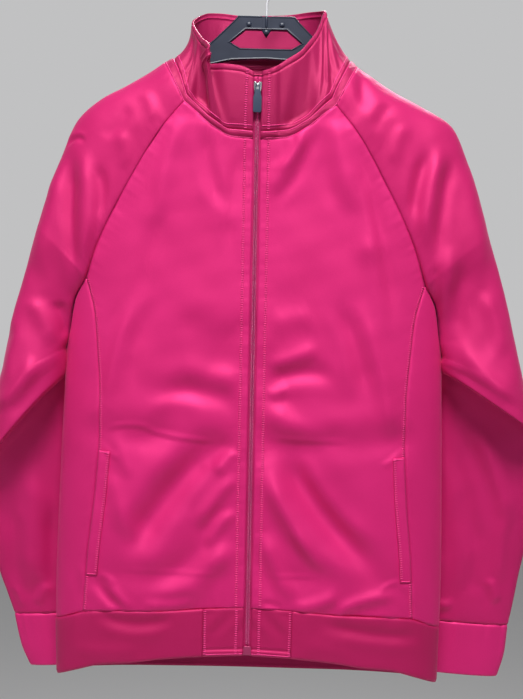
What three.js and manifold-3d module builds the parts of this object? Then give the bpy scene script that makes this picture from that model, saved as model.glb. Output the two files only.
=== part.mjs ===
// A zipped track jacket hanging on a flat plastic hanger.
// Millimetres, +Z up. The origin is the inside top of the hook, +X is to the viewer's right
// and the front faces -Y. Garment tables give x from the garment's own centre line.
import * as THREE from 'three';
import { mergeVertices } from 'three/addons/utils/BufferGeometryUtils.js';
import Module from 'manifold-3d';

const wasm = await Module();
wasm.setup();

const GARMENT_X = -5;      // the garment's centre line hangs a little left of the hook
const CLOTH = 1.5;         // wall of the body and the sleeves
const RIB = 2.4;           // wall of the doubled collar, hem and cuffs
const SEAM = 0.3;          // gap between neighbouring pieces
const ZIP_GAP = 6;         // half the gap between the front edges
const ZIP_TOP = -149;
const ZIP_BOTTOM = -798;
const BAND = 7;            // height of the strip along the neck seam
const COLLAR = 70;         // height of the collar with that strip
const WELT = 13;           // width of a pocket welt
const PATCH = 50;          // where the turned end of the hem band stops
const SWAY = 13;           // both forearms hang this far to the right of square

const mix = (a, b, t) => a + (b - a) * t;
const clamp = (v, low, high) => Math.min(high, Math.max(low, v));

// Smooth curve through rows, without overshoot. The first column is the key.
function curve(rows, column = 1) {
  const keys = rows.map((row) => row[0]);
  const values = rows.map((row) => row[column]);
  const last = keys.length - 1;
  const step = (i) => (values[i + 1] - values[i]) / (keys[i + 1] - keys[i]);
  const slopes = keys.map((_, i) => {
    if (i === 0) return step(0);
    if (i === last) return step(last - 1);
    const before = step(i - 1);
    const after = step(i);
    return before * after <= 0 ? 0 : (2 * before * after) / (before + after);
  });
  return (key) => {
    const k = clamp(key, keys[0], keys[last]);
    let i = 0;
    while (i < last - 1 && k > keys[i + 1]) i += 1;
    const width = keys[i + 1] - keys[i];
    const t = (k - keys[i]) / width;
    const u = 1 - t;
    return values[i] * u * u * (1 + 2 * t) + values[i + 1] * t * t * (3 - 2 * t)
      + width * t * u * (slopes[i] * u - slopes[i + 1] * t);
  };
}
const columns = (rows) => rows[0].slice(1).map((_, i) => curve(rows, i + 1));

// The body: one squared oval for each height.
// z, half width, depth forward, depth backward, middle
const BODY = [
  [-833, 222, 43, 34, 0],
  [-720, 224.5, 46, 36, 0],
  [-570, 222, 46, 38, 0],
  [-430, 219, 46, 38, 0],
  [-384, 222, 45, 38, 0],
  [-345, 236, 44, 38, 0],
  [-300, 246, 43, 38, 0],
  [-245, 242, 42, 37, -1],
  [-200, 227, 41, 36, -3],
  [-187, 218, 40, 36, -3],
  [-169, 196, 40, 35, -4],
  [-145, 151, 40, 34, -4],
  [-123, 116, 40, 34, -4],
  [-116, 112, 40, 34, -4],
];
const [halfWidth, depthFront, depthBack, middle] = columns(BODY);

// The largest folds, as soft ridges (height over 0) and troughs.
// x0, z0, x1, z1, half width, height
const FRONT_FOLDS = [
  [-178, -548, -30, -560, 17, -3.2],
  [-170, -524, -60, -532, 20, 2.4],
  [22, -558, 172, -552, 17, -3.2],
  [40, -534, 160, -528, 20, 2.4],
  [-165, -712, -40, -706, 16, -2.4],
  [30, -706, 165, -714, 16, -2.4],
  [72, -178, 26, -262, 18, 3.4],
  [100, -205, 128, -330, 17, 3.0],
  [132, -335, 160, -520, 18, 2.6],
  [-84, -180, -110, -300, 18, 2.8],
  [-60, -200, -30, -300, 16, 2.2],
  [-14, -430, -120, -560, 18, -2.6],
  [14, -470, 110, -640, 18, -2.6],
  [-14, -560, -110, -690, 18, 2.4],
  [20, -600, 90, -720, 18, 2.4],
];
const BACK_FOLDS = [
  [-70, -150, -120, -330, 20, 3.0],
  [70, -150, 116, -340, 20, 3.0],
  [-150, -552, 20, -560, 20, -3.0],
  [30, -556, 165, -548, 20, -3.0],
  [-110, -250, 90, -268, 24, 2.4],
  [-160, -640, -60, -730, 18, 2.6],
  [150, -650, 60, -735, 18, 2.6],
];

function relief(folds, x, z) {
  let sum = 0;
  for (const [x0, z0, x1, z1, width, height] of folds) {
    const dx = x1 - x0;
    const dz = z1 - z0;
    const t = clamp(((x - x0) * dx + (z - z0) * dz) / (dx * dx + dz * dz), 0, 1);
    const gap = Math.hypot(x - x0 - t * dx, z - z0 - t * dz);
    sum += height * Math.exp(-((gap / width) ** 2));
  }
  return sum;
}

// A point of the body at an angle from the centre front (0) over the side to the back (PI).
function bodyAt(angle, z) {
  const side = Math.sign(angle) || 1;
  const across = Math.abs(Math.sin(angle)) ** (2 / 3);
  const x = side * halfWidth(z) * across;
  const forward = Math.cos(angle);
  const depth = forward > 0 ? depthFront(z) : depthBack(z);
  const folds = forward > 0 ? FRONT_FOLDS : BACK_FOLDS;
  const y = middle(z) - forward * (depth + relief(folds, x, z));
  return new THREE.Vector3(x, y, z);
}
const angleOf = (x, z) => Math.sign(x) * Math.asin(Math.min(1, Math.abs(x) / halfWidth(z)) ** 1.5);
const frontAt = (x, z) => bodyAt(angleOf(x, z), z);
const backAt = (x, z) => bodyAt(Math.PI * (Math.sign(x) || 1) - angleOf(x, z), z);

// The outward direction of the body's oval, without the folds.
function bodyNormal(point) {
  const { x, y, z } = point;
  const half = halfWidth(z);
  const back = y > middle(z);
  const depth = back ? depthBack(z) : depthFront(z);
  const spread = (halfWidth(z + 2) - halfWidth(z - 2)) / 4;
  const share = Math.abs(x / half);
  return new THREE.Vector3(
    3 * Math.sign(x) * share ** 2 / half,
    2 * (y - middle(z)) / depth ** 2,
    -3 * share ** 3 * spread / half,
  ).normalize();
}

// Seams, as x from the centre line and z, for the viewer's right side.
const NECK_FRONT = [[0, -212], [29, -210.5], [53, -199], [70, -185], [86, -172]];
const NECK_BACK = [[0, -123], [36, -122.6], [72, -122]];
const RAGLAN_FRONT = [
  [-455, 219], [-440, 215], [-400, 208], [-373, 194.6], [-337, 183], [-307, 170],
  [-252.4, 141.6], [-218.6, 122], [-196.5, 107], [-172, 86],
];
const RAGLAN_BACK = [
  [-455, 219], [-418, 209], [-360, 188], [-285, 158], [-222, 130], [-182, 108],
  [-150, 90], [-122, 72],
];
const PRINCESS = [
  [-757, 189], [-688, 185], [-640, 180], [-612, 177.5], [-562, 175], [-513, 175],
  [-451, 179.6], [-414, 183.5], [-373, 194.6],
];
const BACK_SIDE = [[-768, 206], [-600, 204], [-500, 204], [-418, 209]];
const HEM_TOP = [
  [0, -743.5], [50, -746], [100, -750.5], [150, -752.5], [185, -755.5], [205, -762], [222, -768],
];
const HEM_FOOT = [
  [0, -798], [50, -800.5], [100, -805.5], [130, -810.5], [166, -814.5], [198, -824], [222, -833],
];
const HEM_BACK_TOP = -767;
const HEM_BACK_FOOT = -831;
const SIDE_TOP = -373;      // where the side panel's seam meets the raglan seam
const BACK_SIDE_TOP = -418;
const ARMPIT = -457;

const neckFront = curve(NECK_FRONT);
const neckBack = curve(NECK_BACK);
const raglanFront = curve(RAGLAN_FRONT);
const raglanBack = curve(RAGLAN_BACK);
const princess = curve(PRINCESS);
const backSide = curve(BACK_SIDE);
const hemTop = curve(HEM_TOP);
const hemFoot = curve(HEM_FOOT);
const zipX = (z) => mix(-3, 0.5, (z + 138) / (ZIP_BOTTOM + 138));

// The seam above the hem band, at an angle from the centre front.
function hemLine(angle) {
  const x = halfWidth(-760) * Math.abs(Math.sin(angle)) ** (2 / 3);
  const turn = clamp((Math.abs(angle) - Math.PI / 2) / 0.5, 0, 1);
  return Math.cos(angle) > 0 ? hemTop(x) : mix(hemTop(222), HEM_BACK_TOP, turn);
}

// A closed wall over a grid of outer points, thickened against the grid's outward directions.
function wall(points, normals, thickness, ring = false) {
  const rowCount = points.length;
  const width = points[0].length;
  const count = rowCount * width;
  const position = [];
  for (const row of points) for (const p of row) position.push(p.x, p.y, p.z);
  points.forEach((row, i) => row.forEach((p, j) => {
    const inner = p.clone().addScaledVector(normals[i][j], -thickness);
    position.push(inner.x, inner.y, inner.z);
  }));
  const index = [];
  const quad = (a, b, c, d) => index.push(a, b, c, a, c, d);
  const at = (i, j) => i * width + (j % width);
  const spans = ring ? width : width - 1;
  for (let i = 0; i < rowCount - 1; i += 1) {
    for (let j = 0; j < spans; j += 1) {
      const [a, b, c, d] = [at(i, j), at(i, j + 1), at(i + 1, j + 1), at(i + 1, j)];
      quad(a, d, c, b);
      quad(count + a, count + b, count + c, count + d);
    }
    if (!ring) {
      quad(at(i, 0), count + at(i, 0), count + at(i + 1, 0), at(i + 1, 0));
      const e = width - 1;
      quad(at(i, e), at(i + 1, e), count + at(i + 1, e), count + at(i, e));
    }
  }
  for (let j = 0; j < spans; j += 1) {
    const e = rowCount - 1;
    quad(at(0, j), at(0, j + 1), count + at(0, j + 1), count + at(0, j));
    quad(at(e, j), count + at(e, j), count + at(e, j + 1), at(e, j + 1));
  }
  return facingOut(position, index);
}

function facingOut(position, index) {
  let volume = 0;
  const corner = (i) => new THREE.Vector3().fromArray(position, 3 * i);
  for (let i = 0; i < index.length; i += 3) {
    const [a, b, c] = [corner(index[i]), corner(index[i + 1]), corner(index[i + 2])];
    volume += a.dot(b.cross(c));
  }
  if (volume < 0) index.reverse();
  const geometry = new THREE.BufferGeometry();
  geometry.setAttribute('position', new THREE.Float32BufferAttribute(position, 3));
  geometry.setIndex(index);
  return geometry;
}

// Outward directions of a free grid, from its neighbouring points.
function gridNormals(points, ring = false) {
  const rows = points.length;
  const width = points[0].length;
  return points.map((row, i) => row.map((_, j) => {
    const left = ring ? (j + width - 1) % width : Math.max(0, j - 1);
    const right = ring ? (j + 1) % width : Math.min(width - 1, j + 1);
    const along = points[i][right].clone().sub(points[i][left]).normalize();
    const down = points[Math.min(rows - 1, i + 1)][j].clone()
      .sub(points[Math.max(0, i - 1)][j]).normalize();
    return down.cross(along).normalize();
  }));
}

// A panel between four edges, as a grid of places in its own flat coordinates.
// Each edge is a function of 0..1: top and foot run outward, inner and outer run down.
function panelGrid(edges, across, down) {
  const { top, foot, inner, outer } = edges;
  const grid = [];
  const corners = [top(0), top(1), foot(0), foot(1)];
  for (let i = 0; i <= down; i += 1) {
    const row = [];
    for (let j = 0; j <= across; j += 1) {
      const wide = Math.abs(outer(i / down)[0] - inner(i / down)[0]) + 1e-6;
      const tall = Math.abs(foot(j / across)[1] - top(j / across)[1]);
      const s = mix(edges.inset / wide, 1 - edges.inset / wide, j / across);
      const t = mix(SEAM / 2 / tall, 1 - SEAM / 2 / tall, i / down);
      row.push([0, 1].map((k) => mix(top(s)[k], foot(s)[k], t) + mix(inner(t)[k], outer(t)[k], s)
        - mix(mix(corners[0][k], corners[1][k], s), mix(corners[2][k], corners[3][k], s), t)));
    }
    grid.push(row);
  }
  return grid;
}

const place = (side, point) => new THREE.Vector3(side * point.x, point.y, point.z);

function bodyPanel(grid, at, thickness, lift = 0) {
  const points = grid.map((row) => row.map(([u, z]) => at(u, z)));
  const normals = points.map((row) => row.map(bodyNormal));
  points.forEach((row, i) => row.forEach((p, j) => p.addScaledVector(normals[i][j], lift)));
  return wall(points, normals, thickness);
}

// One front panel: zip edge, neck, raglan seam, princess seam and hem.
function frontPanel(side) {
  const foot = hemTop(189);
  const raglanShare = 0.42;
  const outer = (t) => {
    if (t < raglanShare) {
      const z = mix(-172, SIDE_TOP, t / raglanShare);
      return [side * raglanFront(z), z];
    }
    const z = mix(SIDE_TOP, foot, (t - raglanShare) / (1 - raglanShare));
    return [side * princess(z), z];
  };
  const inner = (t) => {
    const z = mix(-212, hemTop(ZIP_GAP), t);
    return [zipX(z) + side * ZIP_GAP, z];
  };
  const top = (s) => {
    const x = mix(inner(0)[0], side * 86, s);
    return [x, neckFront(Math.abs(x))];
  };
  const hem = (s) => {
    const x = mix(inner(1)[0], side * princess(foot), s);
    return [x, hemTop(Math.abs(x))];
  };
  return bodyPanel(panelGrid({ top, foot: hem, inner, outer, inset: SEAM / 2 }, 11, 22), frontAt, CLOTH);
}

// One side panel, in angle and height: princess seam to back side seam, under the armhole.
function sidePanel(side) {
  const frontFoot = hemTop(189);
  const angle = (x, z) => Math.asin(Math.min(1, x / halfWidth(z)) ** 1.5);
  const inner = (t) => {
    const z = mix(SIDE_TOP, frontFoot, t);
    return [angle(princess(z), z), z];
  };
  const outer = (t) => {
    const z = mix(BACK_SIDE_TOP, HEM_BACK_TOP, t);
    return [Math.PI - angle(backSide(z), z), z];
  };
  const armhole = 0.62;
  const top = (s) => {
    if (s < armhole) {
      const z = mix(SIDE_TOP, ARMPIT, s / armhole);
      return [angle(raglanFront(z), z), z];
    }
    const z = mix(ARMPIT, BACK_SIDE_TOP, (s - armhole) / (1 - armhole));
    return [Math.PI - angle(raglanBack(z), z), z];
  };
  const foot = (s) => {
    const a = mix(inner(1)[0], outer(1)[0], s);
    return [a, hemLine(a)];
  };
  const grid = panelGrid({ top, foot, inner, outer, inset: 0.002 }, 8, 16);
  return bodyPanel(grid, (a, z) => bodyAt(side * a, z), CLOTH);
}

function backPanel() {
  const foot = HEM_BACK_TOP;
  const share = 0.46;
  const edge = (side) => (t) => {
    if (t < share) {
      const z = mix(-122, BACK_SIDE_TOP, t / share);
      return [side * raglanBack(z), z];
    }
    const z = mix(BACK_SIDE_TOP, foot, (t - share) / (1 - share));
    return [side * backSide(z), z];
  };
  const top = (s) => {
    const x = mix(-72, 72, s);
    return [x, neckBack(Math.abs(x))];
  };
  const hem = (s) => [mix(-backSide(foot), backSide(foot), s), foot];
  const edges = { top, foot: hem, inner: edge(-1), outer: edge(1), inset: SEAM / 2 };
  return bodyPanel(panelGrid(edges, 18, 20), backAt, CLOTH);
}

// The sleeve: a row for each station from the neck to the cuff seam.
// station, front seam or inner edge (x, z), outer edge (x, z), back seam or inner edge (x, z),
// inner y, outer y, swell to the front and back, lift of the front, how far the inner and the
// outer edge sit higher on the right than on the left (half), lean to the right, 1 for a tube
const SLEEVE = [
  [0, 86, -172, 112, -119, 72, -122, 0, 0, 0, 0, 0, 0, 0, 0, 0],
  [1, 107, -196.5, 151, -144.5, 90, -150, 0, 0, 0, 0, 0, 0, 0, 0, 0],
  [2, 122, -218.6, 186, -163, 108, -182, 0, 0, 0, 0, 0, 0, 0, 1.5, 0],
  [3, 141.6, -252.4, 218, -187, 130, -222, 0, 0, 0, 0, 0, 0, 1, 6, 0],
  [4, 170, -307, 238, -232, 158, -285, 0, 0, 2, 2, 0, 0, 2, 7, 0],
  [5, 194.6, -373, 262, -312, 188, -360, 0, 0, 10, 8, 0, 0, 2, 7.5, 0],
  [6, 210, -420, 283, -385, 210, -420, 0, 0, 22, 16, 0, 0, 3, 8, 0.3],
  [7, 221, -455, 308, -500, 221, -455, 0, 0, 34, 28, 0, 0, 6, 8, 1],
  [8, 219.8, -467, 314, -536, 219.8, -467, 6, 2, 38, 29, 0, 3, 14, 8, 1],
  [9, 218.3, -475, 318, -562, 218.3, -475, 12, 4, 42, 28, 0, 6, 21, 8, 1],
  [10, 217.5, -478.5, 318.5, -565, 217.5, -478.5, 15, 6, 33, 27, 1.5, 7, 22, 8, 1],
  [11, 216, -482, 319.5, -568, 216, -482, 18, 10, 11, 25, 13, 7, 22, 8, 1],
  [12, 213.7, -488, 320, -577, 213.7, -488, 22, 16, 12, 22, 4, 6, 19, 8, 1],
  [13, 207, -512, 324, -612, 207, -512, 30, 26, 16, 18, 0, 4, 9, 5, 1],
  [14, 197, -600, 324, -662, 197, -600, 38, 34, 17, 14, 0, 0, 0, -1, 1],
  [15, 192, -690, 314, -715, 192, -690, 42, 40, 15, 12, 0, 0, 0, 0, 1],
  [16, 196, -769.7, 298, -775.5, 196, -769.7, 45, 45, 12, 12, 0, 0, 0, 3, 1],
];
const CUFF_STATIONS = [
  [16, 196, -770, 298, -775.8, 196, -770, 45, 45, 12, 12, 0, 0, 0, 3, 1],
  [17, 194, -803, 292, -811, 194, -803, 46, 46, 12, 12, 0, 0, 0, 4, 1],
  [18, 193, -832, 282, -838, 193, -832, 46, 46, 11, 11, 0, 0, 0, 6, 1],
];
const SLEEVE_INSET = 0.6;    // the sleeve's edge stands this far off the seam line
const SEAM_STATIONS = 6.4;   // up to here the sleeve's edges lie on the body's seams

// A point of a sleeve station, s from 0 at the front seam over the outer edge to 1 at the back.
function stationAt(read, key, s, side, isCuff = false) {
  const [
    xIn, zIn, xOut, zOut, xBack, zBack, yIn, yOut, swell, swellBack, lift, turnIn, turnOut, lean, tube,
  ] = read.map((f) => f(key));
  const front = s <= 0.5;
  const run = front ? 2 * s : 2 * (1 - s);
  const flatShare = Math.sin(run * Math.PI / 2);
  const roundShare = (1 - Math.cos(run * Math.PI)) / 2;
  let c = mix(flatShare, roundShare, tube);
  const za = front ? zIn : zBack;
  const seamX = front ? raglanFront(za) : raglanBack(za);
  const xa = key < 6.5 ? seamX : mix(seamX, front ? xIn : xBack, clamp(2 * (key - 6.5), 0, 1));
  const long = Math.hypot(xOut - xa, zOut - za);
  c = mix(tube < 1 ? SLEEVE_INSET / long : 0, 1, c);
  const hump = (2 * Math.sqrt(Math.max(0, c * (1 - c)))) ** 0.8;
  const seamY = (front ? frontAt(side * xa, za) : backAt(side * xa, za)).y;
  const open = clamp((SEAM_STATIONS - key) / 1.4, 0, 1);
  const yEdge = mix(yIn, seamY, open);
  const x = mix(xa, xOut, c);
  const z = mix(za, zOut, c) + (front ? lift * hump : 0) + side * mix(turnIn, turnOut, c);
  const shoulder = yOut + (yEdge - yOut) * Math.sqrt(Math.max(0, 1 - c ** 2.2));
  const tubeLine = mix(yIn, yOut, c);
  const line = mix(shoulder, tubeLine, tube);
  const swing = front ? -swell : swellBack;
  const parting = isCuff ? 0 : (front ? -1 : 1) * 0.25 * tube * (1 - c);
  const sway = SWAY * clamp((-450 - z) / 325, 0, 1.1);
  const swaying = mix(c, 1, clamp((key - 12) / 2, 0, 1));
  return new THREE.Vector3(side * x + sway * swaying + lean * c, line + swing * hump + parting, z);
}

const sleeveRead = columns(SLEEVE);
const cuffRead = columns(CUFF_STATIONS);
const SLEEVE_ROWS = [
  0, 0.5, 1, 1.5, 2, 2.5, 3, 3.5, 4, 4.5, 5, 5.5, 6, 6.5, 7, 7.5, 8, 8.6, 9, 9.5, 10, 10.5,
  11, 11.5, 12, 12.5, 13, 13.5, 14, 14.5, 15, 15.5, 16,
];

function sleeve(side) {
  const around = 18;
  const points = SLEEVE_ROWS.map((key, i) => {
    const shifted = i === 0 ? 0.006 : key;
    return Array.from({ length: around + 1 }, (_, j) => stationAt(sleeveRead, shifted, j / around, side));
  });
  const normals = gridNormals(points);
  if (side < 0) normals.forEach((row) => row.forEach((n) => n.negate()));
  points.forEach((row, i) => {
    const share = clamp(SEAM_STATIONS - 0.9 - SLEEVE_ROWS[i], 0, 1);
    for (const j of [0, around]) {
      const own = normals[i][j];
      own.lerp(bodyNormal(row[j]), share).normalize();
    }
  });
  return wall(points, normals, CLOTH);
}

function cuff(side) {
  const around = 20;
  const points = [16, 16.7, 17.4, 18].map((key) => Array.from(
    { length: around },
    (_, j) => stationAt(cuffRead, key, j / around, side, true),
  ));
  const normals = gridNormals(points, true);
  if (side < 0) normals.forEach((row) => row.forEach((n) => n.negate()));
  return wall(points, normals, RIB, true);
}

// Half of the neck seam on one side, from the front edge to the centre back, over 0..1.
function neckSeam(side) {
  const half = [];
  const start = side * zipX(-212) + ZIP_GAP;
  for (let i = 0; i <= 10; i += 1) {
    const x = mix(start, 86, i / 10);
    half.push(frontAt(side * x, neckFront(x)));
  }
  for (let i = 1; i < 16; i += 1) half.push(stationAt(sleeveRead, 0, i / 16, side));
  for (let i = 0; i <= 6; i += 1) {
    const x = mix(72, 0, i / 6);
    half.push(backAt(side * x, neckBack(x)));
  }
  const lengths = [0];
  for (let i = 1; i < half.length; i += 1) {
    lengths.push(lengths[i - 1] + half[i].distanceTo(half[i - 1]));
  }
  const total = lengths[lengths.length - 1];
  return columns(half.map((p, i) => [lengths[i] / total, p.x, p.y, p.z]));
}
const neckHalves = [neckSeam(-1), neckSeam(1)];

// The whole neck seam, from the left front edge (0) round the back (1) to the right one (2).
function neckAt(a) {
  const share = a > 1 ? 2 - a : a;
  return new THREE.Vector3(...neckHalves[a > 1 ? 1 : 0].map((f) => f(share)));
}

// The collar's top edge: place on the neck seam, x, y, z. The left end folds outward.
const COLLAR_TOP = [
  [0, -9, -49, -138],
  [0.03, -23, -48, -131],
  [0.06, -42, -47, -129],
  [0.08, -58, -41, -128],
  [0.095, -66, -44, -122],
  [0.115, -60, -56, -115],
  [0.27, -70, -36, -97],
  [0.55, -82, -5, -71],
  [0.64, -77, 9, -62],
  [0.72, -65, 22, -54],
  [0.81, -46, 30, -52],
  [0.9, -25, 33, -53],
  [1, 0, 34, -52],
  [1.11, 28, 33, -51],
  [1.22, 54, 25, -49],
  [1.42, 73, 0, -53],
  [1.62, 66, -25, -80],
  [1.74, 55, -38, -99],
  [1.82, 46, -45, -111],
  [1.91, 28, -50, -124],
  [1.955, 15, -52, -133],
  [2, 3, -49, -137],
];
const collarTop = columns(COLLAR_TOP);

// How far the collar swells outward halfway up, by place. It is waisted at both sides.
const COLLAR_SWELL = curve([
  [0, 3.5], [0.115, 3.5], [0.27, -1], [0.45, -12], [0.68, -12], [0.85, -2], [1, 2], [1.2, 0],
  [1.38, -6], [1.6, -7], [1.8, 1], [2, 3.5],
]);

function collarAt(a, h) {
  const base = neckAt(a);
  const top = new THREE.Vector3(...collarTop.map((f) => f(a)));
  const point = base.lerp(top, h);
  const swell = COLLAR_SWELL(a) * Math.sin(Math.PI * h ** 0.7);
  const from = Math.hypot(point.x, point.y) || 1;
  point.x += swell * point.x / from;
  point.y += swell * point.y / from;
  return point;
}
const COLLAR_PLACES = [
  0, 0.03, 0.06, 0.08, 0.095, 0.115, 0.16, 0.21, 0.27, 0.34, 0.41, 0.48, 0.55, 0.6, 0.64, 0.68, 0.72,
  0.76, 0.81, 0.86, 0.93, 1, 1.06, 1.11, 1.17, 1.22, 1.28, 1.34, 1.38, 1.42, 1.46, 1.52, 1.57, 1.62,
  1.68, 1.74, 1.8, 1.86, 1.91, 1.955, 2,
];

function collarStrip(heights) {
  const points = heights.map((h) => COLLAR_PLACES.map((a) => collarAt(a, h)));
  return wall(points, gridNormals(points).map((row) => row.map((n) => n.negate())), RIB);
}

// The band round the hem, in angle from the centre front.
function hemRow(angle, share) {
  const side = Math.sign(angle) || 1;
  const front = Math.cos(angle) > 0;
  const x = halfWidth(-760) * Math.abs(Math.sin(angle)) ** (2 / 3);
  const turn = clamp((Math.abs(angle) - Math.PI / 2) / 0.5, 0, 1);
  const top = hemLine(angle) - SEAM;
  const foot = front ? hemFoot(x) : mix(hemFoot(222), HEM_BACK_FOOT, turn);
  return bodyAt(side * Math.abs(angle), mix(top, foot, share));
}

function hemPiece(angles) {
  const points = [0, 0.5, 1].map((share) => angles.map((a) => hemRow(a, share)));
  const normals = points.map((row) => row.map(bodyNormal));
  points.forEach((row, i) => row.forEach((p, j) => p.addScaledVector(normals[i][j], 0.4)));
  return wall(points, normals, RIB);
}

function hemAngles(side, from, to, steps) {
  const z = -770;
  return Array.from({ length: steps + 1 }, (_, i) => angleOf(side * mix(from, to, i / steps), z));
}

function hemBand() {
  const frontStops = [PATCH + SEAM, 75, 100, 125, 145, 165, 182, 197, 208, 216];
  const right = frontStops.map((x) => angleOf(x, -770));
  const sideStops = [Math.PI / 2 - 0.12, Math.PI / 2, Math.PI / 2 + 0.14, Math.PI / 2 + 0.3];
  const backStops = [208, 196, 180, 160, 135, 108, 80, 52, 26].map((x) => Math.PI - angleOf(x, -770));
  const half = [...right, ...sideStops, ...backStops];
  const left = half.map((a) => -a);
  // From the left patch round the back to the right patch; the back centre is at PI.
  const points = [0, 0.5, 1].map((share) => [
    ...left.map((a) => hemRow(a, share)),
    hemRow(Math.PI, share),
    ...half.slice().reverse().map((a) => hemRow(a, share)),
  ]);
  const normals = points.map((row) => row.map(bodyNormal));
  points.forEach((row, i) => row.forEach((p, j) => p.addScaledVector(normals[i][j], 0.4)));
  return wall(points, normals, RIB);
}

function hemPatch(side) {
  const start = zipX(-770) + side * ZIP_GAP;
  return hemPiece(hemAngles(side, side * start, PATCH - SEAM, 4));
}

// A pocket welt lies on the front panel beside the princess seam.
function pocketWelt(side) {
  const [top, foot] = [-571, -713];
  const grid = Array.from({ length: 9 }, (_, i) => {
    const z = mix(top, foot, i / 8);
    return [WELT + 1, WELT / 2 + 1, 1].map((inward) => [side * (princess(z) - inward), z]);
  });
  return bodyPanel(grid, frontAt, 1, CLOTH + 0.3);
}

// One zip tape, behind the front edges, with half of the coil standing on it.
const TAPE_BEHIND = RIB + 0.5;
const frontEdgeY = (z) => (z < -212 ? frontAt(zipX(z), z).y : mix(frontAt(0, -212).y, -49, (z + 212) / 74));

function zipTape(side) {
  // distance from the zip's middle, how far it stands forward
  const profile = [[0.3, 1.4], [3.1, 1.4], [3.5, 0], [13, 0]];
  const steps = 26;
  const points = Array.from({ length: steps + 1 }, (_, i) => {
    const z = mix(ZIP_TOP + 6, ZIP_BOTTOM + 3, i / steps);
    return profile.map(([out, forward]) => new THREE.Vector3(
      zipX(z) + side * out,
      frontEdgeY(z) + TAPE_BEHIND - forward,
      z,
    ));
  });
  const forward = new THREE.Vector3(0, -1, 0);
  return wall(points, points.map((row) => row.map(() => forward)), 1);
}

// The geometry with positions alone and its equal points joined.
function joined(geometry) {
  const bare = geometry.clone();
  for (const name of Object.keys(bare.attributes)) if (name !== 'position') bare.deleteAttribute(name);
  return mergeVertices(bare, 1e-4);
}

function asSolid(geometry) {
  const merged = joined(geometry);
  return new wasm.Manifold(new wasm.Mesh({
    numProp: 3,
    vertProperties: new Float32Array(merged.attributes.position.array),
    triVerts: new Uint32Array(merged.index.array),
  }));
}

function asGeometry(solid) {
  const mesh = solid.getMesh();
  const geometry = new THREE.BufferGeometry();
  geometry.setAttribute('position', new THREE.BufferAttribute(new Float32Array(mesh.vertProperties), 3));
  geometry.setIndex(new THREE.BufferAttribute(new Uint32Array(mesh.triVerts), 1));
  return geometry;
}

// An outline in X and Z, extruded through Y between two depths.
function plate(shape, yFront, yBack, bevel = 0, curveSegments = 6) {
  const depth = yBack - yFront - 2 * bevel;
  const geometry = new THREE.ExtrudeGeometry(shape, {
    depth, bevelEnabled: bevel > 0, bevelSize: bevel, bevelThickness: bevel, bevelOffset: -bevel,
    bevelSegments: 1, curveSegments,
  });
  geometry.rotateX(Math.PI / 2);
  geometry.translate(0, yBack - bevel, 0);
  return geometry;
}

function outline(pairs) {
  const shape = new THREE.Shape();
  pairs.forEach(([x, z], i) => (i ? shape.lineTo(x, z) : shape.moveTo(x, z)));
  shape.closePath();
  return shape;
}

const SLIDER_Y = frontEdgeY(-155) - 1.2;        // the slider's front face
const PULL_Z = -153;                            // the pull tab's pivot
const PULL_Y = SLIDER_Y - 0.95;
const SLIDER_X = zipX(PULL_Z);
const BAIL_INNER = 0.9;
const BAIL_OUTER = 1.8;

function zipSlider() {
  const body = outline([
    [-4.7, -149.5], [-2.6, -149], [0, -150.6], [2.6, -149], [4.7, -149.5], [4.5, -156],
    [3.2, -162], [-3.2, -162], [-4.5, -156],
  ]);
  const plateSolid = asSolid(plate(body, SLIDER_Y, frontEdgeY(-155) + TAPE_BEHIND - 1.9, 0.3));
  // The bail is an arch over the pull tab's cross bar, seen from the side.
  const arch = new THREE.Shape();
  arch.moveTo(-1.5, BAIL_OUTER);
  arch.lineTo(0, BAIL_OUTER);
  arch.absarc(0, 0, BAIL_OUTER, Math.PI / 2, -Math.PI / 2, true);
  arch.lineTo(-1.5, -BAIL_OUTER);
  arch.lineTo(-1.5, -BAIL_INNER);
  arch.lineTo(0, -BAIL_INNER);
  arch.absarc(0, 0, BAIL_INNER, -Math.PI / 2, Math.PI / 2, false);
  arch.lineTo(-1.5, BAIL_INNER);
  arch.closePath();
  const bail = new THREE.ExtrudeGeometry(arch, { depth: 1.4, bevelEnabled: false, curveSegments: 8 });
  bail.translate(0, 0, -0.7);
  // The arch's x points forward, its z across.
  bail.applyMatrix4(new THREE.Matrix4().set(0, 0, 1, 0, -1, 0, 0, 0, 0, 1, 0, 0, 0, 0, 0, 1));
  bail.translate(0, PULL_Y, PULL_Z);
  return asGeometry(plateSolid.add(asSolid(flipIfNeeded(bail))));
}

// Turning a geometry inside out by a mirrored matrix is undone here.
function flipIfNeeded(geometry) {
  const merged = joined(geometry);
  return facingOut(Array.from(merged.attributes.position.array), Array.from(merged.index.array));
}

function zipPull() {
  const tab = outline([
    [-2.6, 0.5], [2.6, 0.5], [2.8, -6], [4.1, -12], [4.75, -14], [4.75, -29.5], [3.6, -31],
    [-3.6, -31], [-4.75, -29.5], [-4.75, -14], [-4.1, -12], [-2.8, -6],
  ]);
  const hole = new THREE.Path();
  [[-1.4, -0.5], [-1.4, -5], [1.4, -5], [1.4, -0.5]].forEach(([x, z], i) => (
    i ? hole.lineTo(x, z) : hole.moveTo(x, z)));
  hole.closePath();
  tab.holes.push(hole);
  const geometry = plate(tab, -0.5, 0.5);
  geometry.translate(SLIDER_X, PULL_Y, PULL_Z);
  return geometry;
}

function zipBox() {
  const box = outline([[-4.6, -797], [4.6, -797], [4.6, -789], [3.4, -787], [-3.4, -787], [-4.6, -789]]);
  const y = frontEdgeY(-792) + TAPE_BEHIND - 1.4 - SEAM;
  const geometry = plate(box, y - 2, y, 0.4);
  geometry.translate(zipX(-792), 0, 0);
  return geometry;
}

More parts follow.
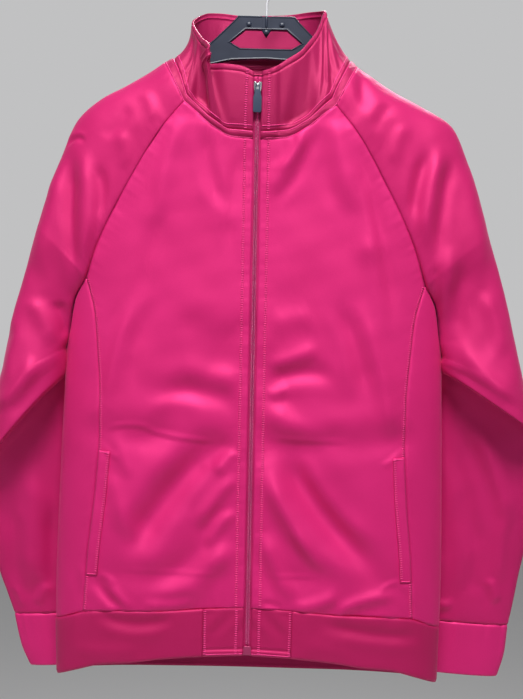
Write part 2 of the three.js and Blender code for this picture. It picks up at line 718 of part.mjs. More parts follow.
// The hanger: a flat frame with a window, whose arms follow the shoulders just under the cloth.
const ARM_CLEAR = 3.2;
const ARM_DEPTH = 9;
const HANGER_HALF = 4;      // half of its thickness

function hangerFrame() {
  const ridge = curve([[60, -87], [86, -106], [112, -119], [151, -144.5], [186, -163], [205, -176]]);
  const armTop = (x) => ridge(x + Math.abs(GARMENT_X)) - ARM_CLEAR;
  const half = [[33, -62], [38, -68]];
  const top = (x) => (x < 100 ? diagonal(x) : armTop(x));
  for (const x of [60, 76, 92, 108, 125, 142, 160, 176, 184]) half.push([x, top(x)]);
  const under = [[188, armTop(184) - 5], [180, armTop(180) - ARM_DEPTH]];
  for (const x of [160, 142, 125, 108, 92]) under.push([x, top(x) - ARM_DEPTH - 2]);
  under.push([70, -121], [40, -114], [0, -112]);
  const right = [...half, ...under];
  const left = right.slice(0, -1).reverse().map(([x, z]) => [-x, z]);
  const frame = outline([...right, ...left]);
  const window = new THREE.Path();
  const holePoints = [[-24, -78], [-42, -93], [-30, -100], [30, -100], [42, -93], [24, -78]];
  holePoints.forEach(([x, z], i) => (i ? window.lineTo(x, z) : window.moveTo(x, z)));
  window.closePath();
  frame.holes.push(window);
  return plate(frame, -HANGER_HALF, HANGER_HALF, 0.8);
}

// The frame's slope from the top bar to the start of the arms.
function diagonal(x) {
  return curve([[38, -68], [60, -90], [76, -104], [92, -115], [108, -125.5]])(x);
}

const HOOK_WIRE = 3.2;
const HOOK_RADIUS = 17;     // inside of the bend

function hangerHook() {
  const radius = HOOK_RADIUS + HOOK_WIRE / 2;
  const points = [];
  for (let i = 0; i <= 20; i += 1) {
    const angle = mix(200, -62, i / 20) * Math.PI / 180;
    points.push(new THREE.Vector3(radius * Math.cos(angle), 0, -HOOK_RADIUS + radius * Math.sin(angle)));
  }
  points.push(new THREE.Vector3(2.5, 0, -38), new THREE.Vector3(0, 0, -46), new THREE.Vector3(0, 0, -61.6));
  const path = new THREE.CatmullRomCurve3(points, false, 'centripetal');
  const ring = new THREE.Shape();
  ring.absarc(0, 0, HOOK_WIRE / 2, 0, 2 * Math.PI, false);
  const geometry = new THREE.ExtrudeGeometry(ring, { steps: 44, curveSegments: 5, extrudePath: path });
  return flipIfNeeded(geometry);
}

const MATERIALS = {
  cloth: { color: 0xc8266a, roughness: 0.5, metalness: 0 },
  rib: { color: 0xc02264, roughness: 0.6, metalness: 0 },
  zip: { color: 0xb51d5c, roughness: 0.6, metalness: 0 },
  metal: { color: 0xb9bcc2, roughness: 0.3, metalness: 1 },
  plastic: { color: 0x17181b, roughness: 0.4, metalness: 0 },
};
const materials = Object.fromEntries(
  Object.entries(MATERIALS).map(([name, look]) => [name, new THREE.MeshStandardMaterial(look)]),
);

const jacket = new THREE.Group();
const hangerGroup = new THREE.Group();
const garment = new THREE.Group();
garment.position.x = GARMENT_X;
jacket.add(garment, hangerGroup);

function add(group, name, geometry, material) {
  const mesh = new THREE.Mesh(geometry, materials[material]);
  mesh.name = name;
  group.add(mesh);
}

for (const [side, word] of [[-1, 'left'], [1, 'right']]) {
  add(garment, `front_${word}`, frontPanel(side), 'cloth');
  add(garment, `side_panel_${word}`, sidePanel(side), 'cloth');
  add(garment, `sleeve_${word}`, sleeve(side), 'cloth');
  add(garment, `cuff_${word}`, cuff(side), 'rib');
  add(garment, `hem_patch_${word}`, hemPatch(side), 'rib');
  add(garment, `pocket_welt_${word}`, pocketWelt(side), 'cloth');
  add(garment, `zip_tape_${word}`, zipTape(side), 'zip');
}
add(garment, 'back', backPanel(), 'cloth');
add(garment, 'neck_band', collarStrip([3 * SEAM / COLLAR, 0.055, BAND / COLLAR]), 'rib');
add(garment, 'collar', collarStrip([(BAND + 1.5 * SEAM) / COLLAR, 0.16, 0.3, 0.5, 0.75, 1]), 'rib');
add(garment, 'hem_band', hemBand(), 'rib');
const slider = zipSlider();
slider.translate(SLIDER_X, 0, 0);
add(garment, 'zip_slider', slider, 'metal');
add(garment, 'zip_pull', zipPull(), 'metal');
add(garment, 'zip_box', zipBox(), 'metal');
add(hangerGroup, 'hanger', hangerFrame(), 'plastic');
add(hangerGroup, 'hanger_hook', hangerHook(), 'metal');

export default jacket;
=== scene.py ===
# A zipped track jacket on a flat plastic hanger.
# Tables and helper sizes are in millimetres in the garment's own frame; meshes are in metres.
import math

import bmesh
import bpy
import numpy as np
from mathutils import Matrix, Vector


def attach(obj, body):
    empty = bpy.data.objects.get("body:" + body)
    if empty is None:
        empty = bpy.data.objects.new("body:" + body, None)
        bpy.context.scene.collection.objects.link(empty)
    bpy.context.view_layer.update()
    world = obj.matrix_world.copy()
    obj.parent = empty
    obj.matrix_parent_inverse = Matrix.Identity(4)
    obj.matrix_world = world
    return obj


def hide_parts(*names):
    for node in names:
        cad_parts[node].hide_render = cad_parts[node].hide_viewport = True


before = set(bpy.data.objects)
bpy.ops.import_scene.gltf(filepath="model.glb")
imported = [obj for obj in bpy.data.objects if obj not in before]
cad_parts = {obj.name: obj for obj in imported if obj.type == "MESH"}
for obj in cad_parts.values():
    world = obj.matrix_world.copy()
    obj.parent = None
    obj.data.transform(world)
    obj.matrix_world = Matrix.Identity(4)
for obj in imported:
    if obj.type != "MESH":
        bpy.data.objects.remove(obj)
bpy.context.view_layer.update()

MM = 0.001
GARMENT_X = -5.0          # the garment's centre line hangs a little left of the hook
CLOTH = 1.5               # wall of the body and the sleeves
RIB = 2.4                 # wall of the doubled collar, hem and cuffs
ZIP_GAP = 4.0             # half the gap between the front edges
ZIP_TOP, ZIP_BOTTOM = -149.0, -798.0
FRONT_TOP = -212.0        # where the front edges meet the neck seam
BAND, COLLAR = 7.0, 70.0  # heights of the strip along the neck seam, and of the collar with it
WELT = 13.0               # width of a pocket welt
WELT_TOP, WELT_FOOT, WELT_LIFT, WELT_WALL = -571, -713, 0.4, 1.2
PATCH = 50.0              # where the turned end of the hem band stops
SWAY = 13.0               # both forearms hang this far to the right of square
SQUARENESS = 1.5          # of the body's oval: 1 is an ellipse
FRONT_DEPTH, BACK_DEPTH = 1.2, 1.7  # how strongly the tables of finer creases show on the body
SLEEVE_FRONT_DEPTH, SLEEVE_BACK_DEPTH = 1.35, 1.5
SIDES = ((-1, "left"), (1, "right"))


def mix(a, b, t):
    return a + (b - a) * t


def sign(value):
    return np.where(value < 0, -1.0, 1.0)


def bell(offset, width):
    return np.exp(-((offset / width) ** 2))


def unit(v):
    return v / np.maximum(np.linalg.norm(v, axis=-1, keepdims=True), 1e-9)


def run_lengths(points):
    """Distance from the start of a line of points to each of them."""
    return np.concatenate([[0], np.cumsum(np.linalg.norm(np.diff(points, axis=0), axis=1))])


def read_rows(at, keys, rows):
    return np.stack([np.interp(at, keys, rows[:, k]) for k in range(rows.shape[1])], -1)


def curve(rows, column=1):
    """A smooth curve through rows, without overshoot. The first column is the key."""
    keys = np.array([row[0] for row in rows], float)
    values = np.array([row[column] for row in rows], float)
    steps = np.diff(values) / np.diff(keys)
    slopes = np.empty_like(values)
    slopes[0], slopes[-1] = steps[0], steps[-1]
    before, after = steps[:-1], steps[1:]
    product, total = before * after, before + after
    safe = np.where(total == 0, 1, total)
    slopes[1:-1] = np.where(product <= 0, 0, 2 * product / safe)

    def at(key):
        k = np.clip(key, keys[0], keys[-1])
        i = np.clip(np.searchsorted(keys, k, side="right") - 1, 0, len(keys) - 2)
        width = keys[i + 1] - keys[i]
        t = (k - keys[i]) / width
        u = 1 - t
        ends = values[i] * u * u * (1 + 2 * t) + values[i + 1] * t * t * (3 - 2 * t)
        return ends + width * t * u * (slopes[i] * u - slopes[i + 1] * t)

    return at


def columns(rows):
    return [curve(rows, i) for i in range(1, len(rows[0]))]


# The body: one squared oval for each height.
# z, half width, depth forward, depth backward, middle
BODY = [
    [-833, 222, 43, 34, 0],
    [-720, 224.5, 46, 36, 0],
    [-570, 222, 46, 38, 0],
    [-430, 219, 46, 38, 0],
    [-384, 222, 45, 38, 0],
    [-345, 236, 44, 38, 0],
    [-300, 246, 43, 38, 0],
    [-245, 242, 42, 37, -1],
    [-200, 227, 41, 36, -3],
    [-187, 218, 40, 36, -3],
    [-169, 196, 40, 35, -4],
    [-145, 151, 40, 34, -4],
    [-123, 116, 40, 34, -4],
    [-116, 112, 40, 34, -4],
]
half_width, depth_front, depth_back, middle = columns(BODY)

# The largest folds, the same as in the solids: x0, z0, x1, z1, half width, height
FRONT_FOLDS = [
    [-178, -548, -30, -560, 17, -3.2],
    [-170, -524, -60, -532, 20, 2.4],
    [22, -558, 172, -552, 17, -3.2],
    [40, -534, 160, -528, 20, 2.4],
    [-165, -712, -40, -706, 16, -2.4],
    [30, -706, 165, -714, 16, -2.4],
    [72, -178, 26, -262, 18, 3.4],
    [100, -205, 128, -330, 17, 3.0],
    [132, -335, 160, -520, 18, 2.6],
    [-84, -180, -110, -300, 18, 2.8],
    [-60, -200, -30, -300, 16, 2.2],
    [-14, -430, -120, -560, 18, -2.6],
    [14, -470, 110, -640, 18, -2.6],
    [-14, -560, -110, -690, 18, 2.4],
    [20, -600, 90, -720, 18, 2.4],
]
BACK_FOLDS = [
    [-70, -150, -120, -330, 20, 3.0],
    [70, -150, 116, -340, 20, 3.0],
    [-150, -552, 20, -560, 20, -3.0],
    [30, -556, 165, -548, 20, -3.0],
    [-110, -250, 90, -268, 24, 2.4],
    [-160, -640, -60, -730, 18, 2.6],
    [150, -650, 60, -735, 18, 2.6],
]

# Finer creases: x0, z0, x1, z1, bow of the middle, half width, height
FRONT_CREASES = [
    # rays from the neck and the raglan seams
    [85, -183, 106, -290, 4, 10, 2.6],
    [105, -204, 160, -425, -7, 9, -2.6],
    [66, -196, 20, -284, -6, 9, -2.6],
    [52, -204, 22, -250, -4, 6, 1.2],
    [122, -250, 138, -330, 3, 7, 1.2],
    [116, -396, 160, -548, -6, 10, 3.2],
    [96, -400, 128, -500, -4, 9, -2.0],
    [-62, -204, -38, -292, 4, 9, -2.2],
    [-86, -190, -112, -300, 6, 10, 2.0],
    [-100, -290, -128, -400, 6, 10, -1.4],
    [-22, -230, -30, -340, 3, 8, -1.2],
    [-138, -400, -167, -524, 5, 9, 3.2],
    [-116, -400, -138, -500, 5, 9, -1.8],
    # drags from the zip, the viewer's left side
    [-14, -487, -80, -474, -5, 14, 1.5],
    [-16, -514, -104, -499, 6, 13, -2.9],
    [-16, -440, -88, -416, -5, 17, -1.3],
    [-58, -516, -120, -522, 4, 10, 1.8],
    [-34, -556, -134, -688, 9, 17, -9.0],
    [-17, -566, -40, -592, 2, 7, 2.4],
    [-17, -596, -58, -652, 3, 8, 3.2],
    [-17, -634, -48, -676, 3, 7, 3.0],
    [-18, -672, -78, -738, -3, 12, 3.6],
    [-160, -596, -130, -672, 3, 10, 2.4],
    [-156, -548, -136, -600, 2, 8, 1.8],
    # and the viewer's right side
    [15, -468, 72, -448, 3, 9, 2.0],
    [16, -486, 92, -478, -5, 10, -2.7],
    [16, -501, 40, -494, 2, 6, 1.4],
    [16, -516, 86, -553, 4, 13, 2.8],
    [18, -424, 66, -412, -3, 12, 1.8],
    [34, -560, 150, -706, 9, 16, -9.0],
    [56, -570, 134, -664, 7, 11, 2.6],
    [20, -594, 78, -690, 5, 9, 3.2],
    [16, -660, 50, -732, 3, 9, 3.6],
    [50, -650, 86, -700, 3, 6, 1.2],
    # drapes over the hem seam
    [-26, -668, -112, -742, -7, 12, 3.6],
    [-60, -738, -118, -744, -2, 5, 1.6],
    [-176, -716, -146, -748, 3, 5, -2.4],
    [-164, -712, -132, -748, 3, 5, 1.9],
    [50, -742, 102, -727, 4, 8, 2.8],
    [98, -748, 166, -727, -4, 7, 2.8],
    [14, -738, 40, -744, -2, 4, -1.4],
    [176, -712, 196, -748, -3, 5, 1.6],
    [-196, -700, -184, -740, -2, 5, 1.6],
    # the lines left by folding it flat, and the ends of the pockets
    [-166, -545, -112, -543, -4, 2.6, 1.1],
    [-130, -542, -40, -556, 3, 2.6, 1.0],
    [22, -551, 108, -553, 1, 2.6, 0.8],
    [-150, -704, -24, -705, 1, 2.2, 0.5],
    [22, -706, 80, -706, 1, 2.2, 0.5],
    [-168, -566, -150, -578, 2, 3, 0.9],
    [168, -566, 148, -580, -2, 3, 0.9],
    [-172, -712, -150, -722, -2, 3, 1.1],
    [174, -712, 150, -722, 2, 3, 1.1],
]
HEM_CREASES = [
    [-172, -757, -84, -757, 9, 7, -2.6],
    [84, -760, 198, -776, 3, 7, -2.4],
    [-200, -800, -120, -792, 4, 9, 1.2],
    [60, -786, 120, -796, -3, 10, 1.2],
]
BACK_CREASES = [
    [-60, -140, -100, -300, 10, 9, 1.4],
    [58, -140, 92, -310, -10, 9, 1.4],
    [-20, -140, -30, -240, 4, 8, 0.8],
    [-130, -260, -60, -300, 8, 9, 1.0],
    [120, -250, 50, -305, -8, 9, 1.0],
    [-180, -400, -90, -470, 10, 9, 1.2],
    [176, -410, 80, -480, -12, 9, 1.2],
    [-170, -470, -60, -520, -10, 8, 0.9],
    [165, -500, 40, -540, 10, 8, 1.0],
    [-150, -600, -40, -650, 12, 9, 1.1],
    [140, -590, 30, -660, -10, 9, 1.1],
    [-120, -740, -60, -690, 8, 8, 1.0],
    [0, -745, 30, -690, 6, 8, 0.8],
    [130, -740, 80, -690, -8, 8, 1.0],
    [-150, -330, -60, -380, 8, 10, 1.4],
    [30, -350, 130, -390, -8, 10, 1.2],
    [-40, -420, 60, -440, 6, 12, 1.0],
    [-170, -560, -90, -610, -8, 9, 1.2],
    [60, -560, 150, -600, 8, 9, 1.0],
    [-90, -640, -20, -720, 7, 8, 1.2],
    [100, -650, 170, -720, -6, 8, 1.1],
    [-190, -680, -150, -745, 4, 7, 1.2],
    [180, -690, 150, -748, -4, 7, 1.3],
    [-30, -560, -10, -640, 5, 10, -1.1],
]
# On the sleeves, x is the distance from the centre line and z is height.
LEFT_SLEEVE_CREASES = [
    [217, -230, 206, -376, -3, 9, -4.2],
    [199, -232, 190, -350, 3, 9, 2.6],
    [184, -246, 178, -306, 3, 7, -1.8],
    [223, -219, 200, -216, 5, 3.4, -1.7],
    [228, -244, 250, -366, -4, 13, 2.8],
    [150, -176, 176, -214, 4, 9, -1.2],
    [134, -160, 120, -196, 3, 7, 1.0],
    [160, -206, 150, -250, 3, 8, 1.2],
    [230, -402, 213, -442, 4, 8, -3.0],
    [262, -400, 232, -450, 6, 10, 2.4],
    [250, -468, 292, -524, 5, 9, 3.0],
    [280, -430, 296, -490, -4, 8, -1.8],
    [262, -596, 258, -742, 4, 14, 3.2],
    [234, -640, 230, -756, -3, 9, -2.4],
    [286, -640, 282, -740, 3, 9, -1.6],
    [252, -764, 236, -738, 3, 7, 1.8],
    [270, -768, 280, -742, -2, 5, 1.2],
]
RIGHT_SLEEVE_CREASES = [
    [110, -88, 121, -176, 3, 8, -2.6],
    [208, -214, 189, -326, 4, 9, 3.0],
    [224, -224, 207, -342, 3, 8, -2.8],
    [195, -222, 178, -300, 3, 8, -2.4],
    [236, -232, 262, -372, -4, 13, 2.2],
    [150, -168, 132, -200, 3, 7, -1.1],
    [168, -190, 152, -236, 3, 8, 1.4],
    [222, -330, 216, -412, 3, 10, 2.6],
    [240, -350, 236, -430, 3, 9, -2.0],
    [206, -352, 204, -400, 2, 6, -1.8],
    [262, -380, 286, -450, -4, 9, 1.8],
    [236, -440, 300, -505, 4, 9, 2.2],
    [264, -538, 307, -652, -5, 10, 3.8],
    [240, -560, 268, -690, -4, 11, -2.0],
    [303, -640, 300, -722, 3, 8, 1.8],
    [276, -650, 270, -740, 3, 10, -1.8],
    [286, -718, 296, -748, -2, 6, 2.2],
    [216, -744, 244, -752, 3, 6, 2.4],
    [226, -690, 222, -745, 3, 8, 1.4],
]
SLEEVE_FRONT_CREASES = {-1: LEFT_SLEEVE_CREASES, 1: RIGHT_SLEEVE_CREASES}
SLEEVE_BACK_CREASES = [
    [130, -190, 220, -250, 10, 12, 1.8],
    [175, -300, 250, -330, -8, 10, 1.8],
    [205, -400, 290, -420, 8, 10, 2.2],
    [214, -450, 300, -500, -6, 9, 2.4],
    [218, -480, 306, -540, 8, 8, -2.0],
    [226, -600, 300, -620, -8, 10, 1.8],
    [222, -690, 300, -670, 8, 9, 1.6],
    [250, -640, 262, -750, 5, 11, 1.8],
    [236, -540, 296, -600, 6, 9, 1.5],
    [214, -660, 240, -740, 3, 9, -1.6],
    [286, -680, 270, -755, 3, 8, 1.4],
    [240, -240, 262, -380, -5, 11, 1.9],
    [190, -240, 205, -360, 4, 9, -1.5],
]


def relief(folds, x, z):
    """The largest folds: each is a soft ridge (height over 0) or trough along a line."""
    total = np.zeros(np.broadcast(x, z).shape)
    for x0, z0, x1, z1, width, height in folds:
        dx, dz = x1 - x0, z1 - z0
        t = np.clip(((x - x0) * dx + (z - z0) * dz) / (dx * dx + dz * dz), 0, 1)
        gap = np.hypot(x - x0 - t * dx, z - z0 - t * dz)
        total = total + height * bell(gap, width)
    return total


def creases(table, x, z):
    """Finer creases: a bowed ridge that fades at both ends, with a shallow trough beside it."""
    total = np.zeros(np.broadcast(x, z).shape)
    for x0, z0, x1, z1, bow, width, height in table:
        dx, dz = x1 - x0, z1 - z0
        length = math.hypot(dx, dz)
        t = ((x - x0) * dx + (z - z0) * dz) / length**2
        off = ((x - x0) * dz - (z - z0) * dx) / length
        off = off - bow * 4 * t * (1 - t)
        fade = np.clip(np.minimum(t + 0.08, 1.08 - t) / 0.34, 0, 1)
        fade = fade * fade * (3 - 2 * fade)
        ridge = bell(off, width) - 0.35 * bell(off - 1.8 * width, width)
        total = total + height * fade * ridge
    return total


# Soft unevenness of hung tricot: wavelength, direction in degrees, phase, height
RIPPLES = [
    [150, 12, 0.4, 0.55],
    [96, 68, 1.9, 0.38],
    [64, -35, 4.1, 0.24],
    [43, 51, 2.6, 0.15],
    [29, -72, 5.2, 0.08],
]


def ripples(u, v):
    total = 0.0
    for wavelength, direction, phase, height in RIPPLES:
        turn = math.radians(direction)
        along = u * math.cos(turn) + v * math.sin(turn)
        bend = 0.8 * np.sin(v / 61 + phase)
        total = total + height * np.sin(2 * math.pi * along / wavelength + phase + bend)
    return total


def oval_x(angle, z):
    return half_width(z) * np.abs(np.sin(angle)) ** (1 / SQUARENESS)


def body_at(angle, z, fine=False):
    """A point of the body at an angle from the centre front (0) over the side to the back (pi)."""
    x = sign(angle) * oval_x(angle, z)
    forward = np.cos(angle)
    is_front = forward > 0
    depth = np.where(is_front, depth_front(z), depth_back(z))
    folds = np.where(is_front, relief(FRONT_FOLDS, x, z), relief(BACK_FOLDS, x, z))
    if fine:
        front, back = creases(FRONT_CREASES, x, z), creases(BACK_CREASES, x, z)
        folds = folds + np.where(is_front, FRONT_DEPTH * front, BACK_DEPTH * back) + ripples(x, z)
    y = middle(z) - forward * (depth + folds)
    return np.stack(np.broadcast_arrays(x, y, z), axis=-1)


def angle_of(x, z):
    return sign(x) * np.arcsin(np.minimum(1, np.abs(x) / half_width(z)) ** SQUARENESS)


def front_at(x, z, fine=False):
    return body_at(angle_of(x, z), z, fine)


def back_at(x, z, fine=False):
    return body_at(sign(x) * math.pi - angle_of(x, z), z, fine)


def body_normal(points):
    """The outward direction of the body's oval, without the folds."""
    x, y, z = points[..., 0], points[..., 1], points[..., 2]
    half = half_width(z)
    depth = np.where(y > middle(z), depth_back(z), depth_front(z))
    spread = (half_width(z + 2) - half_width(z - 2)) / 4
    share = np.abs(x / half)
    n = np.stack(
        [3 * np.sign(x) * share**2 / half, 2 * (y - middle(z)) / depth**2, -3 * share**3 * spread / half],
        axis=-1,
    )
    return unit(n)


def grid_normals(points, ring=False):
    """Outward directions of a free grid, rows running down and columns clockwise from above."""
    if ring:
        along = np.roll(points, -1, axis=1) - np.roll(points, 1, axis=1)
    else:
        along = np.gradient(points, axis=1)
    n = np.cross(np.gradient(points, axis=0), along)
    return unit(n)


def smoothed(normals, rounds):
    """Directions averaged with their neighbours along each row."""
    n = normals.copy()
    for _ in range(rounds):
        n[:, 1:-1] = n[:, :-2] + 2 * n[:, 1:-1] + n[:, 2:]
        n = unit(n)
    return n


# Seams, as x from the centre line and z, for the viewer's right side.
NECK_FRONT = [[0, -212], [29, -210.5], [53, -199], [70, -185], [86, -172]]
NECK_BACK = [[0, -123], [36, -122.6], [72, -122]]
RAGLAN_FRONT = [
    [-455, 219], [-440, 215], [-400, 208], [-373, 194.6], [-337, 183], [-307, 170],
    [-252.4, 141.6], [-218.6, 122], [-196.5, 107], [-172, 86],
]
RAGLAN_BACK = [
    [-455, 219], [-418, 209], [-360, 188], [-285, 158], [-222, 130], [-182, 108], [-150, 90], [-122, 72],
]
PRINCESS = [
    [-757, 189], [-688, 185], [-640, 180], [-612, 177.5], [-562, 175], [-513, 175],
    [-451, 179.6], [-414, 183.5], [-373, 194.6],
]
BACK_SIDE = [[-768, 206], [-600, 204], [-500, 204], [-418, 209]]
HEM_TOP = [[0, -743.5], [50, -746], [100, -750.5], [150, -752.5], [185, -755.5], [205, -762], [222, -768]]
HEM_FOOT = [
    [0, -798], [50, -800.5], [100, -805.5], [130, -810.5], [166, -814.5], [198, -824], [222, -833],
]
HEM_BACK_TOP, HEM_BACK_FOOT = -767.0, -831.0
SIDE_TOP, BACK_SIDE_TOP, ARMPIT = -373.0, -418.0, -457.0

neck_front, neck_back = curve(NECK_FRONT), curve(NECK_BACK)
# The corners where the raglan seams meet the neck seam.
(FRONT_CORNER_X, FRONT_CORNER_Z), (BACK_CORNER_X, BACK_CORNER_Z) = NECK_FRONT[-1], NECK_BACK[-1]
raglan_front, raglan_back = curve(RAGLAN_FRONT), curve(RAGLAN_BACK)
princess, back_side = curve(PRINCESS), curve(BACK_SIDE)
hem_top, hem_foot = curve(HEM_TOP), curve(HEM_FOOT)


ZIP_HEAD = -138           # height from which the zip's slight lean is counted


def zip_x(z):
    return mix(-3, 0.5, (z - ZIP_HEAD) / (ZIP_BOTTOM - ZIP_HEAD))


HEM_SEAM, HEM_SIDE = -760, 222  # height at which the seam above the hem is read, and its side's reach
HEM_MIDDLE = -770.0       # height at which the band's columns are spaced
HEM_FRONT_REACH, HEM_BACK_REACH = 216, 208  # where the columns start to turn over the side


def hem_edge(angle, line, back):
    """The height of the hem band's top or foot, at an angle from the centre front."""
    turn = np.clip((np.abs(angle) - math.pi / 2) / 0.5, 0, 1)
    front = line(oval_x(angle, HEM_SEAM))
    return np.where(np.cos(angle) > 0, front, mix(line(HEM_SIDE), back, turn))


def panel_grid(top, foot, inner, outer, across, down):
    """A panel between four edges, as a grid of places in its own flat coordinates."""
    s0 = np.linspace(0, 1, across + 1)[None, :]
    t0 = np.linspace(0, 1, down + 1)[:, None]
    s, t = s0 + 0 * t0, t0 + 0 * s0
    corners = [top(0.0), top(1.0), foot(0.0), foot(1.0)]
    result = []
    for k in (0, 1):
        sheet = mix(top(s)[k], foot(s)[k], t) + mix(inner(t)[k], outer(t)[k], s)
        bend = mix(mix(corners[0][k], corners[1][k], s), mix(corners[2][k], corners[3][k], s), t)
        result.append(sheet - bend)
    return result


def edge_gaps(points):
    """Distance along the cloth from each of a grid's four edges: top, foot, inner, outer."""
    along = np.linalg.norm(np.diff(points, axis=1), axis=-1)
    down = np.linalg.norm(np.diff(points, axis=0), axis=-1)
    left = np.concatenate([np.zeros((len(points), 1)), np.cumsum(along, axis=1)], axis=1)
    upper = np.concatenate([np.zeros((1, points.shape[1])), np.cumsum(down, axis=0)], axis=0)
    return upper, upper[-1:] - upper, left, left[:, -1:] - left


def seam_finish(points, normals, edges="tfio", depth=0.45, reach=1.7, pucker=0.3):
    """Pulls the cloth in along its sewn edges, with small uneven puckers beside them."""
    gaps = dict(zip("tfio", edge_gaps(points)))
    lift = np.zeros(points.shape[:2])
    for letter in edges:
        gap = gaps[letter]
        place = gaps["i" if letter in "tf" else "t"]
        wave = np.sin(place / 1.55 + 1.3 * np.sin(place / 9.1))
        wave = wave + 0.8 * np.sin(place / 2.7 + 2 + np.sin(place / 17))
        lift = lift - depth * bell(gap, reach)
        lift = lift + pucker * wave * np.exp(-gap / 7) * (1 - np.exp(-gap / 2))
    return points + normals * lift[..., None]


class Sheet:
    """A grid of outer points with its outward directions, and the wall made from it."""

    def __init__(self, points, normals, thickness, ring=False):
        self.points, self.normals, self.thickness, self.ring = points, normals, thickness, ring

    def path(self, edge, gap):
        """Points and directions along a line at a distance from one edge."""
        places = dict(zip(("top", "foot", "inner", "outer"), edge_gaps(self.points)))[edge]
        both = np.concatenate([self.points, self.normals], -1)
        if edge in ("top", "foot"):
            places, both = places.T, both.transpose(1, 0, 2)
        if edge in ("foot", "outer"):
            places, both = places[:, ::-1], both[:, ::-1]
        found = []
        for gaps, run in zip(places, both):
            k = min(float(np.interp(gap, gaps, np.arange(len(gaps)))), len(gaps) - 1.001)
            i = int(k)
            found.append(mix(run[i], run[i + 1], k - i))
        found = np.array(found)
        return found[:, :3], found[:, 3:]


def new_object(name, data):
    piece = bpy.data.objects.new(name, data)
    bpy.context.scene.collection.objects.link(piece)
    return piece


def smooth_shaded(mesh):
    mesh.polygons.foreach_set("use_smooth", [True] * len(mesh.polygons))


def mesh_object(name, vertices, faces, uv=None, shift=GARMENT_X):
    mesh = bpy.data.meshes.new(name)
    v = np.array(vertices, float)
    v[:, 0] += shift
    mesh.from_pydata((v * MM).tolist(), [], faces.tolist() if isinstance(faces, np.ndarray) else faces)
    smooth_shaded(mesh)
    if uv is not None:
        layer = mesh.uv_layers.new(name="cloth")
        index = np.empty(len(mesh.loops), int)
        mesh.loops.foreach_get("vertex_index", index)
        layer.data.foreach_set("uv", uv[index].ravel())
    mesh.update()
    return new_object(name, mesh)


def volume(vertices, faces):
    a, b, c, d = (vertices[faces[:, k]] for k in range(4))
    return float((np.cross(b, c) * a).sum() + (np.cross(c, d) * a).sum())


def wall(name, sheet):
    """The closed wall of a sheet, with UVs in metres along and down the cloth."""
    p, n = sheet.points, sheet.normals
    rows, width = p.shape[:2]
    inner = p - n * sheet.thickness
    vertices = np.concatenate([p.reshape(-1, 3), inner.reshape(-1, 3)])
    count = rows * width
    i = np.arange(rows - 1)[:, None]
    j = np.arange(width if sheet.ring else width - 1)[None, :]
    k = (j + 1) % width
    a, b, c, d = i * width + j, i * width + k, (i + 1) * width + k, (i + 1) * width + j
    faces = [np.stack([a, b, c, d], -1).reshape(-1, 4), np.stack([a, d, c, b], -1).reshape(-1, 4) + count]
    i, j, k = i.ravel(), j.ravel(), k.ravel()
    last = (rows - 1) * width
    borders = [(k, j), (last + j, last + k)]
    if not sheet.ring:
        borders += [(i * width, (i + 1) * width), ((i + 2) * width - 1, (i + 1) * width - 1)]
    faces += [np.stack([e, f, f + count, e + count], -1) for e, f in borders]
    faces = np.concatenate(faces)
    if volume(vertices, faces) < 0:
        faces = faces[:, ::-1]
    upper, _, left, _ = edge_gaps(p)
    uv = np.stack([left - left.mean(), -upper], -1).reshape(-1, 2) * MM
    return mesh_object(name, vertices, faces, np.concatenate([uv, uv]))


FINE = 2.8                # grid spacing on the cloth
PRINCESS_FOOT = float(hem_top(189))
TUCK = 4.0                # how far the sleeves are drawn in at the armpits
UP_TO_FOLD, UP_TO_SIDE, ARMHOLE = 0.42, 0.46, 0.62  # shares of the panels' edges, up to their corners


def stepped(keys, counts):
    """Keys with a number of even steps between each two, at least six."""
    parts = [mix(a, b, np.arange(max(6, n)) / max(6, n)) for a, b, n in zip(keys, keys[1:], counts)]
    return np.concatenate([*parts, keys[-1:]])


def two_runs(t, share, start, corner, stop):
    """From start to corner over the first share of t, and on to stop."""
    return np.where(t < share, mix(start, corner, t / share), mix(corner, stop, (t - share) / (1 - share)))


def panel(at, grid, thickness=CLOTH, edges="tfio", lift=0.0, **finish):
    points = at(*grid, True)
    normals = body_normal(points)
    points = points + normals * lift
    return Sheet(seam_finish(points, normals, edges, **finish), normals, thickness)


def front_panel(side):
    def outer(t):
        z = two_runs(t, UP_TO_FOLD, FRONT_CORNER_Z, SIDE_TOP, PRINCESS_FOOT)
        return side * np.where(t < UP_TO_FOLD, raglan_front(z), princess(z)), z

    def inner(t):
        z = mix(FRONT_TOP, float(hem_top(ZIP_GAP)), t)
        return zip_x(z) + side * ZIP_GAP, z

    def top(s):
        x = mix(inner(0)[0], side * FRONT_CORNER_X, s)
        return x, neck_front(np.abs(x))

    def hem(s):
        x = mix(inner(1)[0], side * princess(PRINCESS_FOOT), s)
        return x, hem_top(np.abs(x))

    return panel(front_at, panel_grid(top, hem, inner, outer, across=72, down=210))


def side_panel(side):
    def inner(t):
        z = mix(SIDE_TOP, PRINCESS_FOOT, t)
        return angle_of(princess(z), z), z

    def outer(t):
        z = mix(BACK_SIDE_TOP, HEM_BACK_TOP, t)
        return math.pi - angle_of(back_side(z), z), z

    def top(s):
        z = two_runs(s, ARMHOLE, SIDE_TOP, ARMPIT, BACK_SIDE_TOP)
        front, back = angle_of(raglan_front(z), z), math.pi - angle_of(raglan_back(z), z)
        return np.where(s < ARMHOLE, front, back), z

    def hem(s):
        a = mix(inner(1)[0], outer(1)[0], s)
        return a, hem_edge(a, hem_top, HEM_BACK_TOP)

    grid = panel_grid(top, hem, inner, outer, across=36, down=130)
    return panel(lambda a, z, fine: body_at(side * a, z, fine), grid)


